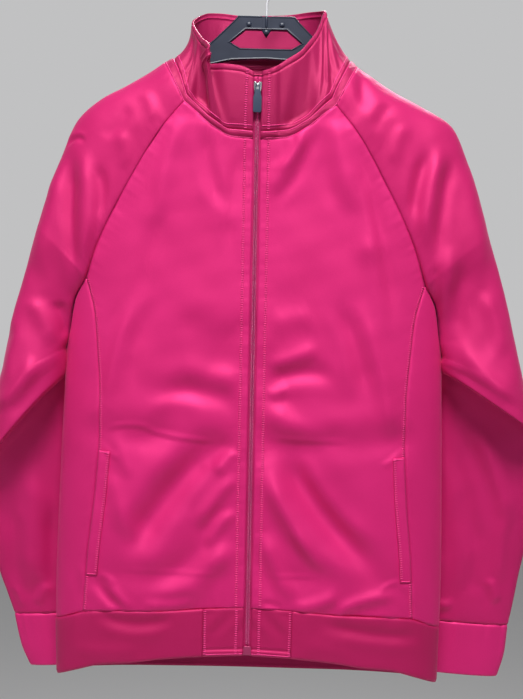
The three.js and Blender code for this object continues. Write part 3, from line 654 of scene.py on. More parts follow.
def back_panel():
    def edge(side):
        def at(t):
            z = two_runs(t, UP_TO_SIDE, BACK_CORNER_Z, BACK_SIDE_TOP, HEM_BACK_TOP)
            return side * np.where(t < UP_TO_SIDE, raglan_back(z), back_side(z)), z

        return at

    def top(s):
        x = mix(-BACK_CORNER_X, BACK_CORNER_X, s)
        return x, neck_back(np.abs(x))

    def hem(s):
        x = mix(-back_side(HEM_BACK_TOP), back_side(HEM_BACK_TOP), s)
        return x, np.full(np.shape(x), HEM_BACK_TOP)

    return panel(back_at, panel_grid(top, hem, edge(-1), edge(1), across=130, down=210))


# The sleeve: a row for each station from the neck to the cuff seam.
# station, front seam or inner edge (x, z), outer edge (x, z), back seam or inner edge (x, z),
# inner y, outer y, swell to the front and back, lift of the front, how far the inner and the
# outer edge sit higher on the right than on the left (half), lean to the right, 1 for a tube
SLEEVE = [
    [0, 86, -172, 112, -119, 72, -122, 0, 0, 0, 0, 0, 0, 0, 0, 0],
    [1, 107, -196.5, 151, -144.5, 90, -150, 0, 0, 0, 0, 0, 0, 0, 0, 0],
    [2, 122, -218.6, 186, -163, 108, -182, 0, 0, 0, 0, 0, 0, 0, 1.5, 0],
    [3, 141.6, -252.4, 218, -187, 130, -222, 0, 0, 0, 0, 0, 0, 1, 6, 0],
    [4, 170, -307, 238, -232, 158, -285, 0, 0, 2, 2, 0, 0, 2, 7, 0],
    [5, 194.6, -373, 262, -312, 188, -360, 0, 0, 10, 8, 0, 0, 2, 7.5, 0],
    [6, 210, -420, 283, -385, 210, -420, 0, 0, 22, 16, 0, 0, 3, 8, 0.3],
    [7, 221, -455, 308, -500, 221, -455, 0, 0, 34, 28, 0, 0, 6, 8, 1],
    [8, 219.8, -467, 314, -536, 219.8, -467, 6, 2, 38, 29, 0, 3, 14, 8, 1],
    [9, 218.3, -475, 318, -562, 218.3, -475, 12, 4, 42, 28, 0, 6, 21, 8, 1],
    [10, 217.5, -478.5, 318.5, -565, 217.5, -478.5, 15, 6, 33, 27, 1.5, 7, 22, 8, 1],
    [11, 216, -482, 319.5, -568, 216, -482, 18, 10, 11, 25, 13, 7, 22, 8, 1],
    [12, 213.7, -488, 320, -577, 213.7, -488, 22, 16, 12, 22, 4, 6, 19, 8, 1],
    [13, 207, -512, 324, -612, 207, -512, 30, 26, 16, 18, 0, 4, 9, 5, 1],
    [14, 197, -600, 324, -662, 197, -600, 38, 34, 17, 14, 0, 0, 0, -1, 1],
    [15, 192, -690, 314, -715, 192, -690, 42, 40, 15, 12, 0, 0, 0, 0, 1],
    [16, 196, -769.7, 298, -775.5, 196, -769.7, 45, 45, 12, 12, 0, 0, 0, 3, 1],
]
CUFF_STATIONS = [
    [16, 196, -770, 298, -775.8, 196, -770, 45, 45, 12, 12, 0, 0, 0, 3, 1],
    [17, 194, -803, 292, -811, 194, -803, 46, 46, 12, 12, 0, 0, 0, 4, 1],
    [18, 193, -832, 282, -838, 193, -832, 46, 46, 11, 11, 0, 0, 0, 6, 1],
]
SLEEVE_INSET = 0.1        # the sleeve's edge stands this far off the seam line
SEAM_STATIONS = 6.4       # up to here the sleeve's edges lie on the body's seams
sleeve_read, cuff_read = columns(SLEEVE), columns(CUFF_STATIONS)


def station_at(read, key, s, side, is_cuff=False):
    """A sleeve point, s from 0 at the front seam over the outer edge to 1 at the back seam."""
    key, s = np.broadcast_arrays(np.asarray(key, float), np.asarray(s, float))
    x_in, z_in, x_out, z_out, x_back, z_back, y_in, y_out, *shape = (f(key) for f in read)
    swell, swell_back, lift, turn_in, turn_out, lean, tube = shape
    front = s <= 0.5
    run = np.where(front, 2 * s, 2 * (1 - s))
    c = mix(np.sin(run * math.pi / 2), (1 - np.cos(run * math.pi)) / 2, tube)
    za = np.where(front, z_in, z_back)
    seam_x = np.where(front, raglan_front(za), raglan_back(za))
    xa = mix(seam_x, np.where(front, x_in, x_back), np.clip(2 * (key - 6.5), 0, 1))
    long = np.hypot(x_out - xa, z_out - za)
    c = mix(np.where(tube < 1, SLEEVE_INSET / long, 0), 1, c)
    hump = (2 * np.sqrt(np.maximum(0, c * (1 - c)))) ** 0.8
    seam_y = np.where(front, front_at(side * xa, za)[..., 1], back_at(side * xa, za)[..., 1])
    y_edge = mix(y_in, seam_y, np.clip((SEAM_STATIONS - key) / 1.4, 0, 1))
    x = mix(xa, x_out, c)
    z = mix(za, z_out, c) + np.where(front, lift * hump, 0) + side * mix(turn_in, turn_out, c)
    shoulder = mix(y_out, y_edge, np.sqrt(np.maximum(0, 1 - c**2.2)))
    line = mix(shoulder, mix(y_in, y_out, c), tube)
    parting = 0 if is_cuff else np.where(front, -1, 1) * 0.25 * tube * (1 - c)
    sway = SWAY * np.clip((-450 - z) / 325, 0, 1.1)
    y = line + np.where(front, -swell, swell_back) * hump + parting
    swaying = mix(c, 1, np.clip((key - 12) / 2, 0, 1))
    return np.stack([side * x + sway * swaying + lean * c, y, z], axis=-1)


def sleeve_keys():
    outer = np.array([row[3:5] for row in SLEEVE])
    lengths = np.linalg.norm(np.diff(outer, axis=0), axis=1)
    return stepped([row[0] for row in SLEEVE], [round(length / FINE) for length in lengths])


def sleeve(side):
    keys = sleeve_keys()
    s = np.linspace(0, 1, 121)
    start = np.maximum(keys, 0.006)
    points = station_at(sleeve_read, start[:, None], s[None, :], side)
    tuck = TUCK * bell(keys[:, None] - 7.9, 1.3) * bell(np.minimum(s, 1 - s)[None, :], 0.12)
    points[..., 0] -= side * tuck
    normals = grid_normals(points) * side
    shared = np.clip(SEAM_STATIONS - 0.9 - keys, 0, 1)
    for column in (0, -1):
        blended = mix(normals[:, column], body_normal(points[:, column]), shared[:, None])
        normals[:, column] = unit(blended)
    x, z = side * points[..., 0], points[..., 2]
    is_front = s[None, :] <= 0.5
    front, back = creases(SLEEVE_FRONT_CREASES[side], x, z), creases(SLEEVE_BACK_CREASES, x, z)
    lift = np.where(is_front, SLEEVE_FRONT_DEPTH * front, SLEEVE_BACK_DEPTH * back)
    upper, foot, left, right = edge_gaps(points)
    near = np.minimum(left, right)
    lift = (lift + 0.9 * ripples(left + 300 * (1 + side), upper)) * (1 - bell(near, 12))
    lift = lift * (1 - bell(upper, 12)) * (1 - bell(foot, 8))
    near_ridge = bell(s[None, :] - 0.5, 0.05)
    near_lip = bell(keys[:, None] - 10.5, 1.2)
    points = points + normals * (lift * (1 - 0.6 * near_ridge) * (1 - 0.8 * near_lip))[..., None]
    points = seam_finish(points, normals, "tfio", pucker=0.22)
    return Sheet(points, normals, CLOTH)


def cuff(side):
    rows = np.linspace(16, 18, 26)
    s = np.arange(120) / 120
    points = station_at(cuff_read, rows[:, None], s[None, :], side, True)
    normals = grid_normals(points, True) * side
    place = s * 2 * math.pi
    wave = 0.35 * np.sin(9 * place + 1) + 0.3 * np.sin(14 * place + side) + 0.2 * np.sin(23 * place + 2)
    share = (rows - 16)[:, None] / 2
    points = points + normals * (wave[None, :] * (1 - share) ** 2)[..., None]
    drop = 0.7 * (bell(share * 62, 1.9) + 0.8 * bell((1 - share) * 62, 1.3))
    points = points - normals * drop[..., None]
    return Sheet(points, normals, RIB, True)


def neck_half(side):
    start = side * zip_x(FRONT_TOP) + ZIP_GAP
    x = np.linspace(start, FRONT_CORNER_X, 41)
    front = front_at(side * x, neck_front(x))
    over = station_at(sleeve_read, 0.0, np.arange(1, 48) / 48, side)
    x = np.linspace(BACK_CORNER_X, 0, 31)
    back = back_at(side * x, neck_back(x))
    half = np.concatenate([front, over, back])
    lengths = run_lengths(half)
    return lengths / lengths[-1], half


NECK_HALVES = {side: neck_half(side) for side in (-1, 1)}


def neck_at(a):
    """The neck seam, from the left front edge (0) round the back (1) to the right one (2)."""
    share = np.where(a > 1, 2 - a, a)
    left, right = (read_rows(share, *NECK_HALVES[side]) for side in (-1, 1))
    return np.where((a > 1)[..., None], right, left)


# The collar's top edge: place on the neck seam, x, y, z. The left end folds outward.
COLLAR_TOP = [
    [0, -7.2, -49, -138],
    [0.03, -23, -48, -131],
    [0.06, -42, -47, -129],
    [0.08, -58, -41, -128],
    [0.095, -66, -44, -122],
    [0.115, -60, -56, -115],
    [0.27, -70, -36, -97],
    [0.55, -82, -5, -71],
    [0.64, -77, 9, -62],
    [0.72, -65, 22, -54],
    [0.81, -46, 30, -52],
    [0.9, -25, 33, -53],
    [1, 0, 34, -52],
    [1.11, 28, 33, -51],
    [1.22, 54, 25, -49],
    [1.42, 73, 0, -53],
    [1.62, 66, -25, -80],
    [1.74, 55, -38, -99],
    [1.82, 46, -45, -111],
    [1.91, 28, -50, -124],
    [1.955, 15, -52, -133],
    [2, 1.2, -49, -137],
]
collar_top = columns(COLLAR_TOP)


# How far the collar swells outward halfway up, by place. It is waisted at both sides.
COLLAR_SWELL = curve([
    [0, 3.5], [0.115, 3.5], [0.27, -1], [0.45, -12], [0.68, -12], [0.85, -2], [1, 2], [1.2, 0],
    [1.38, -6], [1.6, -7], [1.8, 1], [2, 3.5],
])


def collar_at(a, h):
    a, h = np.broadcast_arrays(a, h)
    top = np.stack([f(a) for f in collar_top], -1)
    point = mix(neck_at(a), top, h[..., None])
    swell = COLLAR_SWELL(a) * np.sin(math.pi * np.maximum(h, 0) ** 0.7)
    point[..., :2] += swell[..., None] * unit(point[..., :2])
    return point


def collar_places():
    keys = [row[0] for row in COLLAR_TOP]
    return stepped(keys, [round(width * 150) for width in np.diff(keys)])


# Creases of the collar, in its own place round the neck and share of its height:
# place, half width, lean toward the top, from height, to height, depth
COLLAR_CREASES = [
    [0.30, 0.022, 0.10, 0.0, 0.75, 1.6],
    [0.42, 0.028, 0.05, 0.0, 0.85, -1.8],
    [0.06, 0.012, 0.0, 0.0, 0.25, -1.2],
    [0.80, 0.030, 0.04, 0.1, 0.9, -0.8],
    [1.18, 0.030, -0.04, 0.0, 0.8, 0.9],
    [1.50, 0.022, -0.04, 0.0, 0.75, -1.6],
    [1.60, 0.024, -0.14, 0.05, 0.75, 2.0],
    [1.68, 0.022, -0.22, 0.0, 0.9, -1.8],
    [1.76, 0.030, -0.30, 0.0, 1.1, 2.6],
    [1.958, 0.010, 0.0, -0.1, 1.2, 0.7],
    [1.80, 0.020, -0.22, 0.1, 1.0, 1.6],
]
RIGHT_PLACKET = 1.938     # place where the right placket's outer edge runs up
PLACKET_STEP, STEP_EDGE, STEP_REACH = 2.6, 0.0022, 0.05  # its depth, and its run in the same places
# Hollows that are deepest just above the neck band: place, half width, lean, depth
COLLAR_HOLLOWS = [
    [0.222, 0.052, 0.02, 10.0],
    [0.36, 0.030, 0.03, 3.0],
    [1.58, 0.040, -0.06, 4.0],
    [1.855, 0.068, -0.06, 10.0],
]


def collar_sheet(h, edges):
    """A strip of the collar between the first and the last share of its height in h."""
    a = collar_places()[None, :]
    strip, h = h, h[:, None]
    points = collar_at(a, h)
    normals = smoothed(grid_normals(points), 6)
    lift = np.zeros(points.shape[:2])
    for place, width, lean, start, stop, depth in COLLAR_CREASES:
        fade = np.clip((h - start) / 0.2, 0, 1) * np.clip((stop - h) / 0.2, 0, 1)
        lift = lift + depth * fade * bell(a - place - lean * h, width)
    climb = np.clip((h - BAND / COLLAR) / 0.1, 0, 1) * np.clip(1 - h, 0, 1)
    for place, width, lean, depth in COLLAR_HOLLOWS:
        lift = lift - depth * climb * np.exp(-(((a - place - lean * h) / width) ** 4))
    # A hollow starts crisply beside the right placket.
    gap = RIGHT_PLACKET - a
    step = 1 / (1 + np.exp(-gap / STEP_EDGE)) * np.exp(-np.maximum(gap, 0) / STEP_REACH)
    lift = lift - PLACKET_STEP * step * np.clip(h / 0.12, 0, 1)
    if strip[-1] < 1:
        # The strip along the neck seam is rolled like a cord.
        lift = lift + 1.1 * np.sin(math.pi * np.clip(h * COLLAR / BAND, 0, 1))
    else:
        # The topstitched rim is a little fuller above its row of stitches.
        lift = lift - bell((1 - h) * COLLAR - 6, 1)
    points = points + normals * lift[..., None]
    points = seam_finish(points, normals, edges, depth=0.6, pucker=0.2)
    return Sheet(points, normals, RIB)


def hem_row(angle, share):
    top, foot = hem_edge(angle, hem_top, HEM_BACK_TOP), hem_edge(angle, hem_foot, HEM_BACK_FOOT)
    return body_at(angle, mix(top, foot, share))


def hem_sheet(angles, rows, edges, wavy=1.0):
    share = np.linspace(0, 1, rows)[:, None]
    points = hem_row(angles[None, :], share)
    normals = body_normal(points)
    upper, foot, left, _ = edge_gaps(points)
    wave = 0.5 * np.sin(left / 7.3 + 1.5 * np.sin(left / 31)) + 0.35 * np.sin(left / 4.1 + 2)
    lift = 0.4 + wavy * wave * np.exp(-upper / 14) + wavy * 0.4 * np.sin(left / 22 + upper / 30)
    lift = lift + np.where(points[..., 1] < 0, creases(HEM_CREASES, points[..., 0], points[..., 2]), 0)
    roll = 0.9 * bell(foot, 1.6)
    points = points + normals * (lift - roll)[..., None]
    return Sheet(seam_finish(points, normals, edges, depth=0.6, pucker=0.2), normals, RIB)


def hem_band():
    front = angle_of(np.linspace(PATCH, HEM_FRONT_REACH, 62), HEM_MIDDLE)
    back = math.pi - angle_of(np.linspace(HEM_BACK_REACH, 0.0, 78), HEM_MIDDLE)
    side = np.linspace(front[-1], back[0], 24)[1:-1]
    half = np.concatenate([front, side, back])
    # From the left patch round to the centre back, and on to the right patch.
    angles = np.concatenate([-half[:-1], half[::-1]])
    return hem_sheet(angles, 22, "tio")


def hem_patch(side):
    start = side * (zip_x(HEM_MIDDLE) + side * ZIP_GAP)
    angles = angle_of(side * np.linspace(start, PATCH, 18), HEM_MIDDLE)
    sheet = hem_sheet(angles, 40, "tio", wavy=0.5)
    _, foot, left, _ = edge_gaps(sheet.points)
    lip = 0.9 * bell(foot - 5.2, 1.5) - 1.1 * bell(foot - 8.6, 1.3)
    pulls = 0.9 * np.sin((left + 0.7 * foot) / 4.6) * bell(foot - 36, 13)
    sheet.points = sheet.points + sheet.normals * (lip + pulls)[..., None]
    return sheet


def pocket_welt(side):
    z = np.linspace(WELT_TOP, WELT_FOOT, 52)[:, None]
    inward = np.linspace(WELT + 1, 1, 9)[None, :]
    grid = (side * (princess(z) - inward), z + 0 * inward)
    points = front_at(*grid)
    points[..., 1] = front_at(*grid, True)[..., 1]
    normals = body_normal(points)
    points = points + normals * (CLOTH + WELT_LIFT)
    points = seam_finish(points, normals, depth=0.5, reach=1.4, pucker=0.12)
    return Sheet(points, normals, WELT_WALL)


def front_edge_y(z):
    low = front_at(zip_x(z), np.minimum(z, FRONT_TOP))[..., 1]
    edge = float(front_at(np.array(0.0), np.array(FRONT_TOP))[1])
    return np.where(z < FRONT_TOP, low, mix(edge, -49, (z - FRONT_TOP) / 74))


TAPE_BEHIND, TAPE_WALL = RIB + 0.5, 0.8


def zip_tape(side):
    z = np.linspace(ZIP_TOP + 6, ZIP_BOTTOM + 3, 240)[:, None]
    out = np.array([0.3, 1.4, 2.6, 3.3, 4.2, 6, 8, 10, 13.0])[None, :]
    forward = np.interp(out, [0.3, 3.0, 5.0, 13], [1.0, 1.0, 0.2, 0.0])
    points = np.stack([zip_x(z) + side * out, front_edge_y(z) + TAPE_BEHIND - forward, z + 0 * out], -1)
    normals = np.zeros_like(points)
    normals[..., 1] = -1
    return Sheet(points, normals, TAPE_WALL)


# Small repeated forms: rounded bars laid along a line, such as stitches and coil turns.
BAR_SIDES = 6
FORWARD = np.array([[0, -1.0, 0]])
BAR_RINGS = ((-0.42, 0.7), (-0.2, 1.0), (0.2, 1.0), (0.42, 0.7))  # place along it, share of its width


def joined(parts):
    """One mesh from parts that are each vertices and faces."""
    vertices, faces, base = [], [], 0
    for points, rings in parts:
        vertices.append(points)
        faces += [tuple(base + k for k in ring) for ring in rings]
        base += len(points)
    return np.concatenate(vertices), faces


def bars(centres, along, up, length, width, height):
    """One joined mesh of rounded bars, each with a centre. The directions are one for all or each."""
    along = unit(along)
    up = unit(up - along * (up * along).sum(1, keepdims=True))
    across = np.cross(along, up)
    turns = np.arange(BAR_SIDES) * 2 * math.pi / BAR_SIDES
    shape = [(-0.5, 0.0, 0.0)]
    for place, size in BAR_RINGS:
        shape += [(place, size * math.cos(t) / 2, size * math.sin(t) / 2) for t in turns]
    shape = np.array([*shape, (0.5, 0.0, 0.0)])
    last = len(shape) - 1
    local = []
    for k in range(BAR_SIDES):
        n = (k + 1) % BAR_SIDES
        local += [(0, 1 + n, 1 + k), (last, last - BAR_SIDES + k, last - BAR_SIDES + n)]
        local += [
            (a + k, a + n, a + BAR_SIDES + n, a + BAR_SIDES + k)
            for a in range(1, last - BAR_SIDES, BAR_SIDES)
        ]
    sizes = np.stack([along * length, across * width, up * height], 1)
    sizes = np.broadcast_to(sizes, (len(centres), 3, 3))
    return joined([(centre + shape @ size, local) for centre, size in zip(centres, sizes)])


STITCH_PITCH, STITCH_LENGTH, STITCH_WIDTH, STITCH_LIFT = 2.6, 3.4, 1.0, 0.25
AHEAD = 0.6               # distance over which a stitch's direction is read, to both sides


def stitches(points, normals, crosswise):
    lengths = run_lengths(points)
    places = np.arange(STITCH_PITCH, lengths[-1] - STITCH_PITCH, STITCH_PITCH)
    at, up = read_rows(places, lengths, points), read_rows(places, lengths, normals)
    along = read_rows(places + AHEAD, lengths, points) - read_rows(places - AHEAD, lengths, points)
    if crosswise:
        along = np.cross(along, up)
    return bars(at + up * STITCH_LIFT, along, up, STITCH_LENGTH, STITCH_WIDTH, STITCH_WIDTH)


def stitch_object(name):
    """The rows of topstitching in one piece. A part that isn't a sheet's name stands for both sides."""
    parts = []
    for _, part, edge, gap, crosswise, top in (row for row in STITCH_ROWS if row[0] == name):
        for sheet in [part] if part in SHEETS else [f"{part}_{word}" for _, word in SIDES]:
            points, normals = SHEETS[sheet].path(edge, gap)
            low = points[:, 2] < top
            parts.append(stitches(points[low], normals[low], crosswise))
    return mesh_object(name, *joined(parts))


# Materials
def feed(tree, node, inputs):
    """Sets a node's inputs. Each is a value, or another node and its output to link from."""
    for key, value in inputs.items():
        if isinstance(value, tuple) and isinstance(value[0], bpy.types.Node):
            tree.links.new(value[0].outputs[value[1]], node.inputs[key])
        else:
            node.inputs[key].default_value = value


def add(tree, kind, output, inputs=(), **settings):
    """A new shader node. Returns it with the output to link from."""
    node = tree.nodes.new(f"ShaderNode{kind}")
    for key, value in settings.items():
        setattr(node, key, value)
    feed(tree, node, dict(inputs))
    return node, output


def node_material(name):
    material = bpy.data.materials.new(name)
    material.use_nodes = True
    tree = material.node_tree
    return material, tree, tree.nodes["Principled BSDF"]


SATIN = 0.28              # share of the cloth's light that comes back as a coloured gloss
SPECKLE = 0.10            # unevenness of the dye from stitch to stitch


def cloth_material(name, dark, light, rough, sheen=0.12):
    """Satin tricot: fine wales and dots, a soft sheen and slight unevenness of the dye."""
    material, tree, shader = node_material(name)
    uv = add(tree, "TexCoord", "UV")
    wide = add(tree, "TexNoise", "Fac", {"Scale": 9.0, "Detail": 3.0, "Vector": uv})
    grain = add(tree, "TexNoise", "Fac", {"Scale": 620.0, "Detail": 2.0, "Vector": uv})
    scaled = {0: wide, 1: 0.8, 2: 0.1 - SPECKLE * 2}
    offset = add(tree, "Math", "Value", scaled, operation="MULTIPLY_ADD")
    blend = add(tree, "Math", "Value", {0: grain, 1: SPECKLE * 4, 2: offset}, operation="MULTIPLY_ADD")
    tint = add(tree, "Mix", 2, {0: blend, 6: (*dark, 1), 7: (*light, 1)}, data_type="RGBA")
    # The wales run down the cloth and the courses across it.
    knit = {0: {"Scale": 330.0, "Distortion": 1.2, "Detail": 1.0}, 1: {"Scale": 260.0, "Distortion": 1.0}}
    for row, direction in enumerate("XY"):
        bands = {"wave_type": "BANDS", "bands_direction": direction}
        knit[row] = add(tree, "TexWave", "Fac", {**knit[row], "Vector": uv}, **bands)
    knit = add(tree, "Math", "Value", knit, operation="MULTIPLY")
    total = add(tree, "Math", "Value", {0: knit, 1: grain}, operation="ADD")
    bump = add(tree, "Bump", "Normal", {"Strength": 0.35, "Distance": 0.0003, "Height": total})
    feed(tree, shader, {
        "Base Color": tint,
        "Roughness": rough,
        "Metallic": SATIN,
        "Specular IOR Level": 0.30,
        "Sheen Weight": sheen,
        "Sheen Roughness": 0.4,
        "Sheen Tint": (1.0, 0.35, 0.62, 1),
        "Normal": bump,
    })
    return material


def hard_material(name, colour, rough, metal=0.0):
    """Moulded plastic or plated metal, with faint unevenness."""
    material, tree, shader = node_material(name)
    place = add(tree, "TexCoord", "Object")
    noise = add(tree, "TexNoise", "Fac", {"Scale": 60.0, "Detail": 4.0, "Vector": place})
    low, high = (tuple(min(1, c * share) for c in colour) for share in (0.82, 1.2))
    tone = add(tree, "Mix", 2, {0: noise, 6: (*low, 1), 7: (*high, 1)}, data_type="RGBA")
    spread = {"To Min": rough - 0.06, "To Max": rough + 0.08, "Value": noise}
    spread = add(tree, "MapRange", "Result", spread)
    bump = add(tree, "Bump", "Normal", {"Strength": 0.3, "Distance": 0.0001, "Height": noise})
    feed(tree, shader, {"Base Color": tone, "Roughness": spread, "Metallic": metal, "Normal": bump})
    return material


CLOTH_LOOK = cloth_material("tricot", (0.57, 0.010, 0.135), (0.73, 0.019, 0.195), 0.50)
# Painted shade: the same tricot as the body, made darker for the sleeves so that it stands in for their
# shading.
SLEEVE_PAINTED_SHADE_LOOK = cloth_material("tricot_sleeve_painted_shade", (0.50, 0.0075, 0.112), (0.64, 0.014, 0.162), 0.51)
# Painted shade: the same tricot again, made darker for the hem band and its patches so that it stands in
# for their shade.
RIB_PAINTED_SHADE_LOOK = cloth_material("tricot_doubled_painted_shade", (0.41, 0.006, 0.084), (0.52, 0.010, 0.120), 0.52)
# Painted shade: the same tricot, made darker still for the collar and neck band so that it stands in for
# the shade in their hollows.
COLLAR_PAINTED_SHADE_LOOK = cloth_material("tricot_collar_painted_shade", (0.34, 0.005, 0.070), (0.44, 0.0085, 0.102), 0.53)
TAPE_LOOK = cloth_material("zip_tape", (0.46, 0.010, 0.11), (0.56, 0.018, 0.15), 0.6, 0.1)
THREAD_LOOK = cloth_material("thread", (0.76, 0.040, 0.235), (0.88, 0.070, 0.31), 0.55, 0.1)
COIL_LOOK = hard_material("coil", (0.50, 0.035, 0.17), 0.34)
BOX_LOOK = hard_material("coated_box", (0.36, 0.035, 0.12), 0.34, 0.3)
STEEL_LOOK = hard_material("plated_steel", (0.42, 0.43, 0.46), 0.24, 1.0)
WIRE_LOOK = hard_material("hook_wire", (0.72, 0.72, 0.75), 0.38, 0.55)
GRIP_LOOK = hard_material("pull_grip", (0.035, 0.052, 0.095), 0.38)
PLASTIC_LOOK = hard_material("hanger_plastic", (0.014, 0.020, 0.042), 0.40)


def finish_piece(piece, look, slot, replaces=None, body="jacket"):
    piece.data.materials.clear()
    piece.data.materials.append(look)
    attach(piece, body)
    if replaces:
        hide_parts(replaces)
    return piece


MAKERS = {
    "front": front_panel,
    "side_panel": side_panel,
    "sleeve": sleeve,
    "cuff": cuff,
    "hem_patch": hem_patch,
    "pocket_welt": pocket_welt,
    "zip_tape": zip_tape,
}
SHEETS = {f"{name}_{word}": make(side) for side, word in SIDES for name, make in MAKERS.items()}
SHEETS["back"] = back_panel()
SHEETS["hem_band"] = hem_band()
RIM_ROWS = [0.88, 0.893, 0.902, 0.909, 0.914, 0.919, 0.926, 0.935, 0.95, 0.97, 0.985, 1]
COLLAR_ROWS = np.concatenate([np.linspace(BAND / COLLAR, 0.865, 24), RIM_ROWS])
SHEETS["neck_band"] = collar_sheet(np.linspace(-0.022, BAND / COLLAR, 14), "tf")
SHEETS["collar"] = collar_sheet(COLLAR_ROWS, "tfio")

# Each piece: node, material, slot, cut width and length in metres, flat area or None.
# The first ones are made for the left and for the right.
PAIRED_CUTS = [
    ["front", CLOTH_LOOK, "cloth", 0.20, 0.60, 0.096],
    ["side_panel", CLOTH_LOOK, "cloth", 0.07, 0.40, None],
    ["sleeve", SLEEVE_PAINTED_SHADE_LOOK, "cloth", 0.29, 0.70, 0.162],
    ["cuff", CLOTH_LOOK, "rib", 0.205, 0.064, None],
    ["hem_patch", RIB_PAINTED_SHADE_LOOK, "rib", 0.049, 0.057, None],
    ["pocket_welt", CLOTH_LOOK, "cloth", 0.0145, 0.145, None],
    ["zip_tape", TAPE_LOOK, "zip_tape", 0.013, 0.655, None],
]
SINGLE_CUTS = [
    ["back", CLOTH_LOOK, "cloth", 0.43, 0.66, 0.24],
    ["neck_band", COLLAR_PAINTED_SHADE_LOOK, "rib", 0.59, 0.0125, None],
    ["collar", COLLAR_PAINTED_SHADE_LOOK, "rib", 0.55, 0.060, None],
    ["hem_band", RIB_PAINTED_SHADE_LOOK, "rib", 0.86, 0.060, None],
]
CUTS = [[f"{name}_{word}", *rest] for _, word in SIDES for name, *rest in PAIRED_CUTS] + SINGLE_CUTS
for node, look, slot, width, length, area in CUTS:
    piece = finish_piece(wall(f"cloth_{node}", SHEETS[node]), look, slot, node)

# Rows of topstitching: piece, part, edge, distance from it, 1 where the ticks lie crosswise, and
# the height that they stay below
STITCH_ROWS = [
    ["stitch_zip", "front", "inner", 9.6, 1, 0],
    ["stitch_princess", "front", "outer", 2.4, 1, SIDE_TOP],
    ["stitch_welts", "pocket_welt", "inner", 1.7, 1, 0],
    ["stitch_welts", "pocket_welt", "top", 1.5, 0, 0],
    ["stitch_welts", "pocket_welt", "foot", 1.5, 0, 0],
    ["stitch_collar", "collar", "top", 6.0, 0, 0],
    ["stitch_collar", "collar", "inner", 9.0, 1, 0],
    ["stitch_collar", "collar", "outer", 9.0, 1, 0],
    ["stitch_collar", "neck_band", "top", 1.8, 0, 0],
    ["stitch_collar", "neck_band", "foot", 1.6, 0, 0],
    ["stitch_hem", "hem_patch", "inner", 9.0, 1, 0],
    ["stitch_hem", "hem_patch", "outer", 2.0, 1, 0],
    ["stitch_hem", "hem_patch", "foot", 3.0, 0, 0],
]
for name in dict.fromkeys(row[0] for row in STITCH_ROWS):
    slot = "rib" if name in ("stitch_collar", "stitch_hem") else "cloth"
    finish_piece(stitch_object(name), THREAD_LOOK, slot)

# The zip's coil: turns of a flattened wire on each tape, meshing at the middle.
COIL_PITCH, COIL_LENGTH, COIL_WIRE = 1.6, 2.7, 1.0
COIL_OUT, COIL_BEHIND, COIL_MARGIN, COIL_LEAN = 1.2, 1.25, 14, (0.12, 0.3)


def coil():
    parts = []
    places = np.arange(ZIP_TOP - COIL_MARGIN, ZIP_BOTTOM + COIL_MARGIN, -COIL_PITCH)
    for side, _ in SIDES:
        z = places - (COIL_PITCH / 2 if side > 0 else 0)
        centres = np.stack([zip_x(z) + side * COIL_OUT, front_edge_y(z) + COIL_BEHIND, z], -1)
        along = np.array([[side, *COIL_LEAN]])
        parts.append(bars(centres, along, FORWARD, COIL_LENGTH, COIL_WIRE, COIL_WIRE))
    return mesh_object("zip_coil", *joined(parts))


finish_piece(coil(), COIL_LOOK, "zip_tape")

RIM_DEPTH = 0.7


def rounded(node, look, slot, body, width, rim):
    """A hard CAD piece with its edges rounded and, where asked, a raised rim round its flat sides."""
    mesh = bpy.data.objects[node].data.copy()
    work = bmesh.new()
    work.from_mesh(mesh)
    bmesh.ops.remove_doubles(work, verts=work.verts, dist=0.00001)
    bmesh.ops.dissolve_limit(work, angle_limit=math.radians(2), verts=work.verts, edges=work.edges)
    if rim:
        faces = [f for f in work.faces if abs(f.normal.y) > 0.95]
        sizes = {"thickness": rim * MM, "depth": -RIM_DEPTH * MM}
        bmesh.ops.inset_region(work, faces=faces, use_boundary=True, use_even_offset=True, **sizes)
    sharp = [e for e in work.edges if e.is_manifold and e.calc_face_angle() > math.radians(35)]
    shape = {"offset": width * MM, "segments": 3, "profile": 0.5}
    bmesh.ops.bevel(work, geom=sharp, affect="EDGES", clamp_overlap=True, **shape)
    work.to_mesh(mesh)
    work.free()
    smooth_shaded(mesh)
    return finish_piece(new_object(f"fine_{node}", mesh), look, slot, node, body)


# Hard pieces: node, material, slot, body, width of the rounded edges, width of the rim
for row in (
    ("zip_slider", STEEL_LOOK, "zip_metal", "jacket", 0.35, 0),
    ("zip_box", BOX_LOOK, "zip_metal", "jacket", 0.3, 0),
    ("zip_pull", GRIP_LOOK, "pull_grip", "pull_tab", 0.22, 0),
    ("hanger", PLASTIC_LOOK, "hanger_plastic", "jacket", 0.28, 1.3),
):
    rounded(*row)


def evaluated_mesh(piece):
    return bpy.data.meshes.new_from_object(piece.evaluated_get(bpy.context.evaluated_depsgraph_get()))


GROOVE_SIZE, GROOVE_PLACE = (3.5, 4, 16), (3.45, -3.9, -68.6)


def cut_grooves(piece):
    """Two grooves in the hanger's front, one on each side of the hook's socket."""
    work = bmesh.new()
    for side, _ in SIDES:
        made = bmesh.ops.create_cube(work, size=MM)["verts"]
        bmesh.ops.scale(work, verts=made, vec=GROOVE_SIZE)
        bmesh.ops.translate(work, verts=made, vec=Vector(GROOVE_PLACE) * MM * Vector((side, 1, 1)))
    mesh = bpy.data.meshes.new("grooves")
    work.to_mesh(mesh)
    work.free()
    cutter = new_object("grooves", mesh)
    change = piece.modifiers.new("grooves", "BOOLEAN")
    change.operation = "DIFFERENCE"
    change.solver = "EXACT"
    change.object = cutter
    result = evaluated_mesh(piece)
    piece.modifiers.clear()
    piece.data = result
    bpy.data.objects.remove(cutter)
    for polygon in result.polygons:
        polygon.use_smooth = max(abs(c) for c in polygon.normal) < 0.99


cut_grooves(bpy.data.objects["fine_hanger"])


